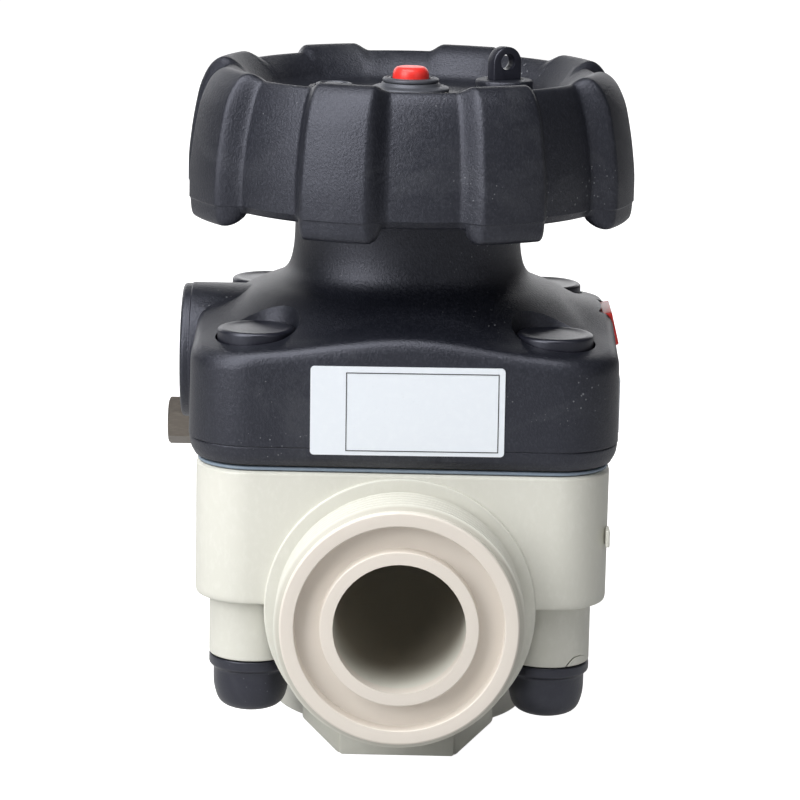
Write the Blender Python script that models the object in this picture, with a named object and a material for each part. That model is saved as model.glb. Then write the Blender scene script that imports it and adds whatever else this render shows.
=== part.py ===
"""Plastic diaphragm valve of nominal size 32, with union spigots and a handwheel that can be locked.

The heights below are counted from the pipe axis. One empty then carries the whole valve up, so that the
origin is the middle of the foot's lower face. +Y runs along the pipe, +Z up the spindle. Metres.
The valve stands with its spindle a little way up from the closed position.
"""
import math

import bmesh
import bpy
from mathutils import Matrix, Vector

# Clearances
GAP = 0.0003
SLIDE_GAP = 0.0004

# Pipe side of the body
FACE_TO_FACE = 0.134
BORE_RADIUS = 0.01575
SPIGOT_RADIUS = 0.0284
SPIGOT_CHAMFER = 0.001
SEAL_GROOVE_INNER = 0.0188
SEAL_GROOVE_OUTER = 0.0249
SEAL_GROOVE_DEPTH = 0.0042
COLLAR_RADIUS = 0.0326
BARREL_RADIUS = 0.0302
BEND_START = FACE_TO_FACE / 2 - 0.021
BEND_RADIUS = 0.030
BEND_ANGLE = math.radians(72)

# Flange block and columns
BOLT_OFFSET = 0.0361
BLOCK_HALF = 0.0499
BLOCK_BOTTOM = 0.0005
BLOCK_TOP = 0.0334
COLUMN_RADIUS = 0.0103
COLUMN_BOTTOM = -0.0167
COLLAR_FRONT = BLOCK_HALF + 0.001

# Foot
FOOT_BOTTOM = -0.042
FOOT_HALF_WIDTH = 0.0145
FOOT_WEB_HALF = 0.0235
FOOT_SLOPE_TOP = FOOT_BOTTOM + 0.009
FOOT_HALF_LENGTH = 0.033
FOOT_RIB_PROUD = 0.0012
BOSS_RADIUS = 0.032
BOSS_BOTTOM = FOOT_BOTTOM + 0.0064
INSERT_RADIUS = 0.005
INSERT_LENGTH = 0.011
INSERT_HOLE = 0.0034
INSERT_OFFSET = 0.021

# Diaphragm chamber and diaphragm, drawn a little way up from the closed position
STROKE_DOWN = 0.0045
STROKE_UP = 0.008
SEAT_RADIUS = 0.027
WEIR_CREST = 0.012
SHIELD_THICKNESS = 0.0008
BACKING_THICKNESS = 0.0014
LAYER_INSET = 0.0004
DOME_LOW = WEIR_CREST + STROKE_DOWN + 0.0005
DOME_GAP = 0.0007

# Compressor and the lower end of the spindle
SPINDLE_RADIUS = 0.005
SPINDLE_BOTTOM = DOME_LOW + 0.024
COMPRESSOR_RADIUS = SEAT_RADIUS - 0.005
COMPRESSOR_TOP = SPINDLE_BOTTOM + 0.011
COMPRESSOR_HUB_RADIUS = 0.0088
COMPRESSOR_DISC_TOP = BLOCK_TOP + 0.0028
WING_HALF_WIDTH = 0.0026
WING_TOP = COMPRESSOR_TOP - 0.0025
STUD_RADIUS = 0.0024
STUD_LENGTH = 0.0115
PIN_RADIUS = 0.0016
PIN_HEIGHT = SPINDLE_BOTTOM + 0.0055

# Bonnet
BONNET_HALF = BLOCK_HALF + 0.0019
BONNET_BOTTOM = BLOCK_TOP + 0.0018
BONNET_LIP = 0.0016
BONNET_SHOULDER = 0.0648
CORNER_DROP = 0.0044
NECK_RADIUS = 0.028
NECK_TOP = 0.108
NECK_FOOT = BONNET_SHOULDER + 0.0055
CAVITY_RADIUS = SEAT_RADIUS - 0.0032
CAVITY_TOP = COMPRESSOR_TOP + STROKE_UP + 0.0006
WING_REACH = CAVITY_RADIUS + 0.0018
NECK_BORE_RADIUS = 0.016
NECK_STEP = NECK_TOP - 0.024
NOTCH_COUNT = 12
NOTCH_DEPTH = 0.0075
PAD_REACH = BONNET_HALF + 0.0038
PAD_HALF = 0.016
PAD_BOTTOM = BONNET_BOTTOM + 0.0023
PAD_TOP = BONNET_SHOULDER + 0.0033

# Bolts, nuts and their caps
BOLT_RADIUS = 0.004
BOLT_HOLE_RADIUS = 0.0045
HEX_RADIUS = 0.0075
HEAD_HEIGHT = 0.0053
NUT_HEIGHT = 0.0064
WASHER_RADIUS = 0.0083
WASHER_THICKNESS = 0.0016
POCKET_FLOOR = BONNET_SHOULDER - 0.014
TOP_CAP_RADIUS = 0.0099
TOP_CAP_TOP = BONNET_SHOULDER - 0.0004
TOP_CAP_DISC = 0.0026
BOTTOM_CAP_RADIUS = COLUMN_RADIUS
BOTTOM_CAP_WAIST = BOTTOM_CAP_RADIUS - 0.0009
BOTTOM_CAP_RIM = 0.0038
BOTTOM_CAP_HEIGHT = 0.0118
BOTTOM_CAP_WALL = 0.0009

# Spindle nut, its washers and the upper end of the spindle
SPINDLE_SHOULDER = NECK_TOP
SPINDLE_TIP_RADIUS = 0.003
INDICATOR_RADIUS = 0.0045
INDICATOR_TOP = SPINDLE_SHOULDER + 0.0171
INDICATOR_BOTTOM = SPINDLE_SHOULDER + 0.0045
INDICATOR_CROWN = 0.0033
THRUST_THICKNESS = 0.001
NECK_RING_HEIGHT = 0.0048
SEAL_CORD_RADIUS = 0.00105
NUT_TUBE_RADIUS = 0.009
NUT_TUBE_BOTTOM = NECK_STEP - 0.006
NUT_FLANGE_RADIUS = NECK_BORE_RADIUS - 0.0015
NUT_FLANGE_HEIGHT = 0.005

# Handwheel
WHEEL_RADIUS = 0.0563
VALLEY_DEPTH = 0.0048
LOBE_COUNT = 8
LOBE_TURN = math.radians(-62)
WHEEL_BOTTOM = NECK_TOP - 0.0187
SKIRT_BOTTOM = WHEEL_BOTTOM + 0.0031
WHEEL_TOP = WHEEL_BOTTOM + 0.0368
VALLEY_TOP = WHEEL_TOP - 0.0016
WEB_BOTTOM = NECK_TOP + 0.0048
WEB_TOP = WEB_BOTTOM + 0.0044
SKIRT_WALL = 0.0036
HUB_RADIUS = 0.0132
HUB_BOTTOM = NECK_TOP - 0.008
HUB_TOP = WEB_TOP + 0.0017
NUT_TUBE_TOP = HUB_TOP - GAP
HUB_WASHER_RADIUS = 0.0096
HUB_WASHER_THICKNESS = 0.0011
HUB_CLIP_RADIUS = 0.007
HUB_CLIP_THICKNESS = 0.001
WEB_BOSS_TOP = WEB_TOP + 0.0036
SLIDER_DISTANCE = NECK_RADIUS - 0.001
SLIDER_ANGLE = math.radians(30)
SLIDER_WIDTH = 0.008
SLIDER_THICKNESS = 0.0034
SLIDER_TOP = WEB_BOSS_TOP + 0.0082
SLIDER_HOLE_RADIUS = 0.0019
SLIDER_HOLE_DROP = 0.0038
SLIDER_BOSS_RADIUS = 0.0072
PLUG_X = -0.019
PLUG_Y = 0.003
PLUG_RADIUS = 0.0046
PLUG_BOSS_RADIUS = 0.0064

# Side pieces
SIDE_PLUG_Y = 0.028
SIDE_PLUG_Z = BLOCK_TOP - 0.005
SIDE_PLUG_HEX = 0.0062
SIDE_PLUG_HEAD = 0.0096
SIDE_PLUG_FLANGE = 0.0014
SIDE_PLUG_SHANK = 0.0038
MARKER_HALF = 0.009
MARKER_HEIGHT = 0.0085
MARKER_Z = BONNET_SHOULDER - 0.0026
MARKER_TILT = math.radians(-22)
MARKER_DEPTH = 0.0016
MARKER_PROUD = 0.0004

# Facets
SPIGOT_FACETS = 36
ROUND = 32
MEDIUM_ROUND = 20
SMALL_ROUND = 16
TINY_ROUND = 12

CORNERS = {
    "front_left": (-1, -1),
    "front_right": (1, -1),
    "rear_left": (-1, 1),
    "rear_right": (1, 1),
}


def clear_scene():
    for obj in list(bpy.data.objects):
        bpy.data.objects.remove(obj)


def plastic(name, colour, roughness, metallic=0.0):
    material = bpy.data.materials.new(name)
    material.use_nodes = True
    shader = material.node_tree.nodes["Principled BSDF"]
    shader.inputs["Base Color"].default_value = (*colour, 1.0)
    shader.inputs["Roughness"].default_value = roughness
    shader.inputs["Metallic"].default_value = metallic
    return material


def finish(name, bm, material=None, sharp=30):
    """Turns a bmesh into an object of the scene, with faces out and round faces smooth."""
    bmesh.ops.remove_doubles(bm, verts=bm.verts, dist=1e-7)
    bmesh.ops.recalc_face_normals(bm, faces=bm.faces)
    mesh = bpy.data.meshes.new(name)
    bm.to_mesh(mesh)
    bm.free()
    mesh.shade_smooth()
    mesh.set_sharp_from_angle(angle=math.radians(sharp))
    obj = bpy.data.objects.new(name, mesh)
    bpy.context.scene.collection.objects.link(obj)
    if material:
        mesh.materials.append(material)
    return obj


def apply_tool(target, tool, operation):
    """Adds or cuts one shape with another, which stays in the scene as a hidden guide."""
    tool.hide_render = True
    tool.display_type = "WIRE"
    modifier = target.modifiers.new(tool.name, "BOOLEAN")
    modifier.operation = operation
    modifier.solver = "EXACT"
    modifier.object = tool


def cut(target, *tools):
    for tool in tools:
        apply_tool(target, tool, "DIFFERENCE")


def add(target, *tools):
    for tool in tools:
        apply_tool(target, tool, "UNION")


def turned(name, profile, material=None, steps=ROUND, closed=True, place=None):
    """Spins a profile of (radius, height) points round Z. An open profile starts and ends on the axis."""
    bm = bmesh.new()
    verts = [bm.verts.new((radius, 0.0, height)) for radius, height in profile]
    pairs = list(zip(verts, verts[1:]))
    if closed:
        pairs.append((verts[-1], verts[0]))
    edges = [bm.edges.new(pair) for pair in pairs]
    geom = verts + edges
    bmesh.ops.spin(bm, geom=geom, cent=(0, 0, 0), axis=(0, 0, 1), angle=math.tau, steps=steps, use_merge=True)
    if place:
        bmesh.ops.transform(bm, matrix=place, verts=bm.verts)
    return finish(name, bm, material)


def rod(name, radius, low, high, material=None, steps=SMALL_ROUND, place=None):
    return turned(name, [(0, low), (radius, low), (radius, high), (0, high)], material, steps, False, place)


def sleeve(name, inner, outer, low, high, material=None, steps=SMALL_ROUND, place=None):
    return turned(name, [(inner, low), (outer, low), (outer, high), (inner, high)], material, steps, True, place)


def hexagon(name, radius, low, high, material=None, place=None):
    return rod(name, radius, low, high, material, 6, place)


def block(name, low, high, material=None, bevel=0.0, place=None):
    """A box between two corners, with its upright and level edges rounded alike."""
    bm = bmesh.new()
    size = Vector(high) - Vector(low)
    middle = (Vector(high) + Vector(low)) / 2
    bmesh.ops.create_cube(bm, size=1.0, matrix=Matrix.Translation(middle) @ Matrix.Diagonal((*size, 1.0)))
    if bevel:
        bmesh.ops.bevel(bm, geom=list(bm.edges), offset=bevel, segments=2, profile=0.5, affect="EDGES", material=-1)
    if place:
        bmesh.ops.transform(bm, matrix=place, verts=bm.verts)
    return finish(name, bm, material)


def extruded(name, outline, low, high, material=None, place=None):
    """Extrudes a flat outline of (x, y) points from one height to another."""
    bm = bmesh.new()
    face = bm.faces.new([bm.verts.new((x, y, low)) for x, y in outline])
    grown = bmesh.ops.extrude_face_region(bm, geom=[face])
    top = [item for item in grown["geom"] if isinstance(item, bmesh.types.BMVert)]
    bmesh.ops.translate(bm, vec=(0, 0, high - low), verts=top)
    if place:
        bmesh.ops.transform(bm, matrix=place, verts=bm.verts)
    return finish(name, bm, material)


def lofted(name, rings, material=None, ring_closed=False):
    """Skins rings of equal count. The ends are closed flat, or the last ring meets the first."""
    bm = bmesh.new()
    loops = [[bm.verts.new(point) for point in ring] for ring in rings]
    pairs = list(zip(loops, loops[1:]))
    if ring_closed:
        pairs.append((loops[-1], loops[0]))
    count = len(loops[0])
    for lower, upper in pairs:
        for i in range(count):
            j = (i + 1) % count
            bm.faces.new((lower[i], lower[j], upper[j], upper[i]))
    if not ring_closed:
        bm.faces.new(loops[0])
        bm.faces.new(loops[-1])
    return finish(name, bm, material)


def square_reach(half, corner, angle):
    """Distance from the middle to the edge of a rounded square, in one direction."""
    folded = angle % (math.pi / 2)
    folded = min(folded, math.pi / 2 - folded)
    if math.tan(folded) * half <= half - corner:
        return half / math.cos(folded)
    centre = half - corner
    along = centre * (math.cos(folded) + math.sin(folded))
    return along + math.sqrt(max(along * along - 2 * centre * centre + corner * corner, 0.0))


def square_angles(half, corner, arc_steps, edge_steps):
    """Directions that meet a rounded square evenly along its arcs and its straight sides."""
    angles = []
    centre = half - corner
    for quarter in range(4):
        turn = quarter * math.pi / 2
        for step in range(arc_steps + 1):
            at = step * math.pi / 2 / arc_steps
            angles.append(turn + math.atan2(centre + corner * math.sin(at), centre + corner * math.cos(at)))
        for step in range(1, edge_steps):
            side = centre - 2 * centre * step / edge_steps
            angles.append(turn + math.pi / 2 + math.atan2(-side, half))
    return angles


def square_ring(half, corner, height, angles, corner_drop=0.0):
    ring = []
    for angle in angles:
        reach = square_reach(half, corner, angle)
        lower = corner_drop * (1 - math.cos(4 * angle)) / 2
        ring.append((reach * math.cos(angle), reach * math.sin(angle), height - lower))
    return ring


def rounded_square(half, corner, arc_steps=6):
    centre = half - corner
    outline = []
    for quarter in range(4):
        turn = quarter * math.pi / 2
        for step in range(arc_steps + 1):
            at = step * math.pi / 2 / arc_steps
            x = centre + corner * math.cos(at)
            y = centre + corner * math.sin(at)
            outline.append((x * math.cos(turn) - y * math.sin(turn), x * math.sin(turn) + y * math.cos(turn)))
    return outline


def at_corner(sign_x, sign_y):
    return Matrix.Translation((sign_x * BOLT_OFFSET, sign_y * BOLT_OFFSET, 0))


def along_y():
    """Turns the Z axis of a turned shape to +Y."""
    return Matrix.Rotation(math.radians(-90), 4, "X")


def bent_passage(name, sign):
    """Flow passage of one side: level from the spigot, then bent up towards the diaphragm."""
    stations = [(FACE_TO_FACE / 2 + BORE_RADIUS, 0.0, 0.0), (BEND_START, 0.0, 0.0)]
    bends = 6
    for step in range(1, bends + 1):
        at = BEND_ANGLE * step / bends
        stations.append((BEND_START - BEND_RADIUS * math.sin(at), BEND_RADIUS - BEND_RADIUS * math.cos(at), at))
    rings = []
    for y, z, tilt in stations:
        ring = []
        for step in range(SMALL_ROUND):
            turn = math.tau * step / SMALL_ROUND
            across = BORE_RADIUS * math.cos(turn)
            rise = BORE_RADIUS * math.sin(turn)
            ring.append((across, sign * (y + rise * math.sin(tilt)), z + rise * math.cos(tilt)))
        rings.append(ring)
    return lofted(name, rings)


def make_valve_body(grey):
    half_face = FACE_TO_FACE / 2
    half = [
        (SEAL_GROOVE_INNER, half_face),
        (SEAL_GROOVE_INNER, half_face - SEAL_GROOVE_DEPTH),
        (SEAL_GROOVE_OUTER, half_face - SEAL_GROOVE_DEPTH),
        (SEAL_GROOVE_OUTER, half_face),
        (SPIGOT_RADIUS - SPIGOT_CHAMFER, half_face),
        (SPIGOT_RADIUS, half_face - SPIGOT_CHAMFER),
        (SPIGOT_RADIUS, COLLAR_FRONT),
        (COLLAR_RADIUS, COLLAR_FRONT),
        (COLLAR_RADIUS, BLOCK_HALF - 0.002),
        (BARREL_RADIUS, BLOCK_HALF - 0.002),
    ]
    front = [(0.0, -half_face)] + [(r, -y) for r, y in half]
    profile = front + [(r, y) for r, y in reversed(half)] + [(0.0, half_face)]
    body = turned("valve_body", profile, grey, SPIGOT_FACETS, False, along_y())
    outline = rounded_square(BLOCK_HALF, BLOCK_HALF - BOLT_OFFSET, 6)
    flange = extruded("body_flange", outline, BLOCK_BOTTOM, BLOCK_TOP)
    add(body, flange)
    add(body, rod("body_boss", BOSS_RADIUS, BOSS_BOTTOM, BLOCK_BOTTOM + 0.01, None, ROUND))
    web = [
        (-FOOT_WEB_HALF, BOSS_BOTTOM + 0.01),
        (-FOOT_WEB_HALF, FOOT_SLOPE_TOP),
        (-FOOT_HALF_WIDTH, FOOT_BOTTOM),
        (FOOT_HALF_WIDTH, FOOT_BOTTOM),
        (FOOT_WEB_HALF, FOOT_SLOPE_TOP),
        (FOOT_WEB_HALF, BOSS_BOTTOM + 0.01),
    ]
    upright = Matrix.Rotation(math.radians(90), 4, "X")
    reach = FOOT_HALF_LENGTH - FOOT_RIB_PROUD
    add(body, extruded("foot_web", web, -reach, reach, None, upright))
    rib_low = (-FOOT_HALF_WIDTH + GAP, -FOOT_HALF_LENGTH, FOOT_BOTTOM)
    rib_high = (FOOT_HALF_WIDTH - GAP, FOOT_HALF_LENGTH, BOSS_BOTTOM + 0.012)
    add(body, block("foot_rib", rib_low, rib_high))
    for corner, (sx, sy) in CORNERS.items():
        column_top = BLOCK_BOTTOM + 0.01
        place = at_corner(sx, sy)
        add(body, rod("column_" + corner, COLUMN_RADIUS, COLUMN_BOTTOM, column_top, None, MEDIUM_ROUND, place))
    for side, sign in (("front", -1), ("rear", 1)):
        cut(body, bent_passage("passage_" + side, sign))
    chamber = bmesh.new()
    depth = BLOCK_TOP - WEIR_CREST
    stretch = Matrix.Translation((0, 0, BLOCK_TOP)) @ Matrix.Diagonal((SEAT_RADIUS, SEAT_RADIUS, depth, 1.0))
    bmesh.ops.create_uvsphere(chamber, u_segments=24, v_segments=12, radius=1.0, matrix=stretch)
    cut(body, finish("chamber", chamber))
    for corner, (sx, sy) in CORNERS.items():
        low = COLUMN_BOTTOM - 0.001
        place = at_corner(sx, sy)
        cut(body, rod("body_hole_" + corner, BOLT_HOLE_RADIUS, low, BLOCK_TOP + 0.001, None, TINY_ROUND, place))
    for side, sign in (("front", -1), ("rear", 1)):
        place = Matrix.Translation((0, sign * INSERT_OFFSET, 0))
        top = FOOT_BOTTOM + INSERT_LENGTH + GAP
        low = FOOT_BOTTOM - 0.001
        cut(body, rod("insert_hole_" + side, INSERT_RADIUS + GAP, low, top, None, TINY_ROUND, place))
    left = Matrix.Translation((0, SIDE_PLUG_Y, SIDE_PLUG_Z)) @ Matrix.Rotation(math.radians(-90), 4, "Y")
    deep = BLOCK_HALF - 0.009
    cut(body, rod("side_hole", SIDE_PLUG_SHANK + GAP, deep, BLOCK_HALF + 0.001, None, TINY_ROUND, left))
    return body


def make_foot_inserts(brass):
    for side, sign in (("front", -1), ("rear", 1)):
        place = Matrix.Translation((0, sign * INSERT_OFFSET, 0))
        low = FOOT_BOTTOM + 0.0002
        top = FOOT_BOTTOM + INSERT_LENGTH
        sleeve("foot_insert_" + side, INSERT_HOLE, INSERT_RADIUS, low, top, brass, TINY_ROUND, place)


def dome(offset):
    """Half profile of a diaphragm surface from its clamped edge to its middle, raised by an offset."""
    depth = BLOCK_TOP + GAP - DOME_LOW
    shape = [(0.98, 0.0), (0.93, 0.06), (0.81, 0.44), (0.6, 0.83), (0.3, 0.985), (0.0, 1.0)]
    return [(SEAT_RADIUS * r, BLOCK_TOP + GAP - depth * d + offset) for r, d in shape]


def dome_height(radius, offset):
    """Height of a diaphragm surface at one distance from the spindle axis."""
    points = dome(offset)
    for (outer, high), (inner, low) in zip(points, points[1:]):
        if inner <= radius <= outer:
            return low + (high - low) * (radius - inner) / (outer - inner)
    return points[0][1]


def make_layer(name, low, thickness, material):
    """One layer of the diaphragm: a square clamped edge with bolt holes, and a domed middle."""
    inset = BLOCK_HALF - LAYER_INSET
    angles = square_angles(inset, inset - BOLT_OFFSET, 4, 4)
    bottom_z = BLOCK_TOP + GAP + low
    rings = []
    under = dome(low)
    over = dome(low + thickness)
    for radius, height in reversed(under[:-1]):
        rings.append([(radius * math.cos(a), radius * math.sin(a), height) for a in angles])
    rings.append(square_ring(inset, inset - BOLT_OFFSET, bottom_z, angles))
    rings.append(square_ring(inset, inset - BOLT_OFFSET, bottom_z + thickness, angles))
    for radius, height in over[:-1]:
        rings.append([(radius * math.cos(a), radius * math.sin(a), height) for a in angles])
    layer = lofted(name, rings, material)
    for corner, (sx, sy) in CORNERS.items():
        low_z = BLOCK_TOP
        high_z = BLOCK_TOP + 0.004
        place = at_corner(sx, sy)
        cut(layer, rod(name + "_hole_" + corner, BOLT_HOLE_RADIUS, low_z, high_z, None, TINY_ROUND, place))
    return layer


def backing_low():
    return SHIELD_THICKNESS + GAP


def compressor_low():
    return backing_low() + BACKING_THICKNESS + DOME_GAP


def make_diaphragm(white, rubber, steel):
    make_layer("diaphragm_shield", 0.0, SHIELD_THICKNESS, white)
    make_layer("diaphragm_backing", backing_low(), BACKING_THICKNESS, rubber)
    low = DOME_LOW + backing_low() + BACKING_THICKNESS + GAP
    rod("diaphragm_stud", STUD_RADIUS, low, low + STUD_LENGTH, steel, TINY_ROUND)


def neck_ring_at(wider, height, angles):
    """A round outline of the neck, or of the fillet at its foot."""
    return square_ring(NECK_RADIUS + wider, NECK_RADIUS + wider, height, angles)


def make_bonnet(black):
    """Square flange that narrows over a sloping top into the round neck, as one moulding."""
    corner = BONNET_HALF - BOLT_OFFSET
    angles = square_angles(BONNET_HALF, corner, 5, 4)
    lip = BONNET_HALF - BONNET_LIP
    foot = NECK_FOOT
    rings = [
        square_ring(lip, corner - BONNET_LIP, BONNET_BOTTOM, angles),
        square_ring(BONNET_HALF - 0.0005, corner, BONNET_BOTTOM + 0.0017, angles),
        square_ring(BONNET_HALF, corner, BONNET_BOTTOM + 0.004, angles),
        square_ring(BONNET_HALF - 0.0003, corner, BONNET_SHOULDER - 0.002, angles, CORNER_DROP),
        square_ring(BONNET_HALF - 0.0014, corner, BONNET_SHOULDER + 0.0003, angles, CORNER_DROP),
        square_ring(BONNET_HALF - 0.0042, corner, BONNET_SHOULDER + 0.0013, angles, CORNER_DROP),
        square_ring(BONNET_HALF - 0.0100, corner + 0.008, BONNET_SHOULDER + 0.0026, angles, CORNER_DROP),
        neck_ring_at(0.0080, foot, angles),
        neck_ring_at(0.0042, foot + 0.0014, angles),
        neck_ring_at(0.0018, foot + 0.0034, angles),
        neck_ring_at(0.0006, foot + 0.0064, angles),
        neck_ring_at(0.0, foot + 0.0110, angles),
        neck_ring_at(0.0, NECK_TOP, angles),
    ]
    bonnet = lofted("bonnet", rings, black)
    pad_low = (-PAD_REACH, -PAD_HALF, PAD_BOTTOM)
    pad_high = (-BONNET_HALF + 0.012, PAD_HALF, PAD_TOP)
    add(bonnet, block("bonnet_pad", pad_low, pad_high, None, 0.0013))
    recess = [
        (0.0, BONNET_BOTTOM - 0.001),
        (SEAT_RADIUS * 1.04, BONNET_BOTTOM - 0.001),
        (SEAT_RADIUS * 1.04, BLOCK_TOP + GAP + compressor_low()),
        (CAVITY_RADIUS, BLOCK_TOP + GAP + compressor_low() + 0.003),
        (CAVITY_RADIUS, CAVITY_TOP),
        (NUT_TUBE_RADIUS + 0.0006, CAVITY_TOP),
        (NUT_TUBE_RADIUS + 0.0006, NECK_STEP),
        (NECK_BORE_RADIUS, NECK_STEP),
        (NECK_BORE_RADIUS, NECK_TOP + 0.001),
        (0.0, NECK_TOP + 0.001),
    ]
    cut(bonnet, turned("bonnet_bore", recess, None, ROUND, False))
    wing_space = WING_HALF_WIDTH + SLIDE_GAP
    slot_low = (-WING_REACH - SLIDE_GAP, -wing_space, BONNET_BOTTOM - 0.001)
    slot_high = (WING_REACH + SLIDE_GAP, wing_space, CAVITY_TOP - 0.001)
    cut(bonnet, block("wing_slots", slot_low, slot_high))
    seat_top = BLOCK_TOP + GAP + backing_low() + BACKING_THICKNESS + GAP
    inset = BLOCK_HALF - LAYER_INSET + GAP
    seat = extruded("diaphragm_seat", rounded_square(inset, inset - BOLT_OFFSET), BONNET_BOTTOM - 0.001, seat_top)
    cut(bonnet, seat)
    for corner_name, (sx, sy) in CORNERS.items():
        place = at_corner(sx, sy)
        low = BONNET_BOTTOM - 0.001
        high = POCKET_FLOOR + 0.001
        cut(bonnet, rod("bonnet_hole_" + corner_name, BOLT_HOLE_RADIUS, low, high, None, TINY_ROUND, place))
        pocket_radius = TOP_CAP_RADIUS + SLIDE_GAP
        cut(bonnet, rod("pocket_" + corner_name, pocket_radius, POCKET_FLOOR, NECK_TOP, None, SMALL_ROUND, place))
    for step in range(NOTCH_COUNT):
        turn = Matrix.Rotation(math.tau * step / NOTCH_COUNT, 4, "Z")
        across = SLIDER_THICKNESS / 2 + SLIDE_GAP
        inner = SLIDER_DISTANCE - SLIDER_WIDTH / 2 - SLIDE_GAP
        notch_low = (inner, -across, NECK_TOP - NOTCH_DEPTH)
        notch_high = (NECK_RADIUS + 0.002, across, NECK_TOP + 0.001)
        cut(bonnet, block("notch_%d" % step, notch_low, notch_high, None, 0.0, turn))
    recess_depth = -MARKER_DEPTH - GAP
    cut(bonnet, marker_block("marker_recess", MARKER_HALF + GAP, MARKER_HEIGHT / 2 + GAP, recess_depth, 0.01))
    return bonnet


def marker_block(name, half, half_height, low, high, material=None):
    """A small slab on the right side of the bonnet, tilted with its shoulder."""
    place = Matrix.Translation((BONNET_HALF - 0.0012, 0, MARKER_Z)) @ Matrix.Rotation(MARKER_TILT, 4, "Y")
    return block(name, (low, -half, -half_height), (high, half, half_height), material, 0.0, place)


def make_fasteners(steel, black_cap):
    for corner, (sx, sy) in CORNERS.items():
        place = at_corner(sx, sy)
        washer_low = POCKET_FLOOR + GAP
        washer_high = washer_low + WASHER_THICKNESS
        head_low = washer_high + GAP
        column_end = COLUMN_BOTTOM - GAP
        nut_washer_low = column_end - WASHER_THICKNESS
        nut_high = nut_washer_low - GAP
        nut_low = nut_high - NUT_HEIGHT
        hole = BOLT_HOLE_RADIUS
        sleeve("bolt_washer_" + corner, hole, WASHER_RADIUS, washer_low, washer_high, steel, TINY_ROUND, place)
        head = hexagon("bolt_" + corner, HEX_RADIUS, head_low, head_low + HEAD_HEIGHT, steel, place)
        add(head, rod("shank_" + corner, BOLT_RADIUS, nut_low - 0.0012, head_low + 0.001, None, TINY_ROUND, place))
        sleeve("nut_washer_" + corner, hole, WASHER_RADIUS, nut_washer_low, column_end, steel, TINY_ROUND, place)
        nut = hexagon("nut_" + corner, HEX_RADIUS, nut_low, nut_high, steel, place)
        thread = BOLT_RADIUS + GAP
        cut(nut, rod("nut_hole_" + corner, thread, nut_low - 0.001, nut_high + 0.001, None, TINY_ROUND, place))
        make_top_cap("top_cap_" + corner, head_low + HEAD_HEIGHT + GAP, black_cap, place)
        make_bottom_cap("bottom_cap_" + corner, column_end, black_cap, place)


def make_top_cap(name, skirt_low, material, place):
    wall = TOP_CAP_RADIUS - 0.0015
    profile = [
        (0.0, TOP_CAP_TOP - TOP_CAP_DISC),
        (wall, TOP_CAP_TOP - TOP_CAP_DISC),
        (wall, skirt_low),
        (TOP_CAP_RADIUS, skirt_low),
        (TOP_CAP_RADIUS, TOP_CAP_TOP - 0.0009),
        (TOP_CAP_RADIUS - 0.0008, TOP_CAP_TOP - 0.0002),
        (0.0, TOP_CAP_TOP),
    ]
    turned(name, profile, material, SMALL_ROUND, False, place)


def make_bottom_cap(name, top, material, place):
    """Domed cover of a nut: a wider rim at the top, a waist, and a round bottom, hollow inside."""
    low = top - BOTTOM_CAP_HEIGHT
    waist = BOTTOM_CAP_WAIST
    inner = waist - BOTTOM_CAP_WALL
    profile = [
        (0.0, low + 0.0016),
        (inner - 0.0012, low + 0.0016),
        (inner, low + 0.004),
        (inner, top),
        (BOTTOM_CAP_RADIUS, top),
        (BOTTOM_CAP_RADIUS, top - BOTTOM_CAP_RIM + 0.0008),
        (waist, top - BOTTOM_CAP_RIM),
        (waist, low + 0.0048),
        (waist * 0.86, low + 0.0015),
        (waist * 0.55, low + 0.0002),
        (0.0, low),
    ]
    turned(name, profile, material, SMALL_ROUND, False, place)


def make_compressor(black):
    """Presses the diaphragm on the weir: domed below, with a hub for the spindle and two guide wings."""
    low = compressor_low()
    under = [(r, z) for r, z in dome(low) if r < COMPRESSOR_RADIUS]
    edge_z = dome_height(COMPRESSOR_RADIUS, low)
    profile = list(reversed(under)) + [
        (COMPRESSOR_RADIUS, edge_z),
        (COMPRESSOR_RADIUS, COMPRESSOR_DISC_TOP),
        (COMPRESSOR_HUB_RADIUS, COMPRESSOR_DISC_TOP + 0.003),
        (COMPRESSOR_HUB_RADIUS, COMPRESSOR_TOP),
        (SPINDLE_RADIUS + GAP, COMPRESSOR_TOP),
        (SPINDLE_RADIUS + GAP, SPINDLE_BOTTOM - GAP),
        (0.0, SPINDLE_BOTTOM - GAP),
    ]
    compressor = turned("compressor", profile, black, MEDIUM_ROUND, False)
    wing_low = (-WING_REACH, -WING_HALF_WIDTH, BLOCK_TOP + GAP + low)
    wings = block("compressor_wings", wing_low, (WING_REACH, WING_HALF_WIDTH, WING_TOP))
    hollow = rod("wing_gap", SPINDLE_RADIUS + 0.0015, SPINDLE_BOTTOM - 0.0005, WING_TOP + 0.001)
    cut(wings, hollow)
    add(compressor, wings)
    stud_low = DOME_LOW + compressor_low()
    stud_high = stud_low + STUD_LENGTH + 2 * GAP
    cut(compressor, rod("stud_hole", STUD_RADIUS + GAP, stud_low - 0.001, stud_high, None, TINY_ROUND))
    across = Matrix.Translation((0, 0, PIN_HEIGHT)) @ along_y()
    reach = COMPRESSOR_HUB_RADIUS + 0.002
    cut(compressor, rod("pin_hole", PIN_RADIUS + GAP, -reach, reach, None, TINY_ROUND, across))
    return compressor


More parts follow.
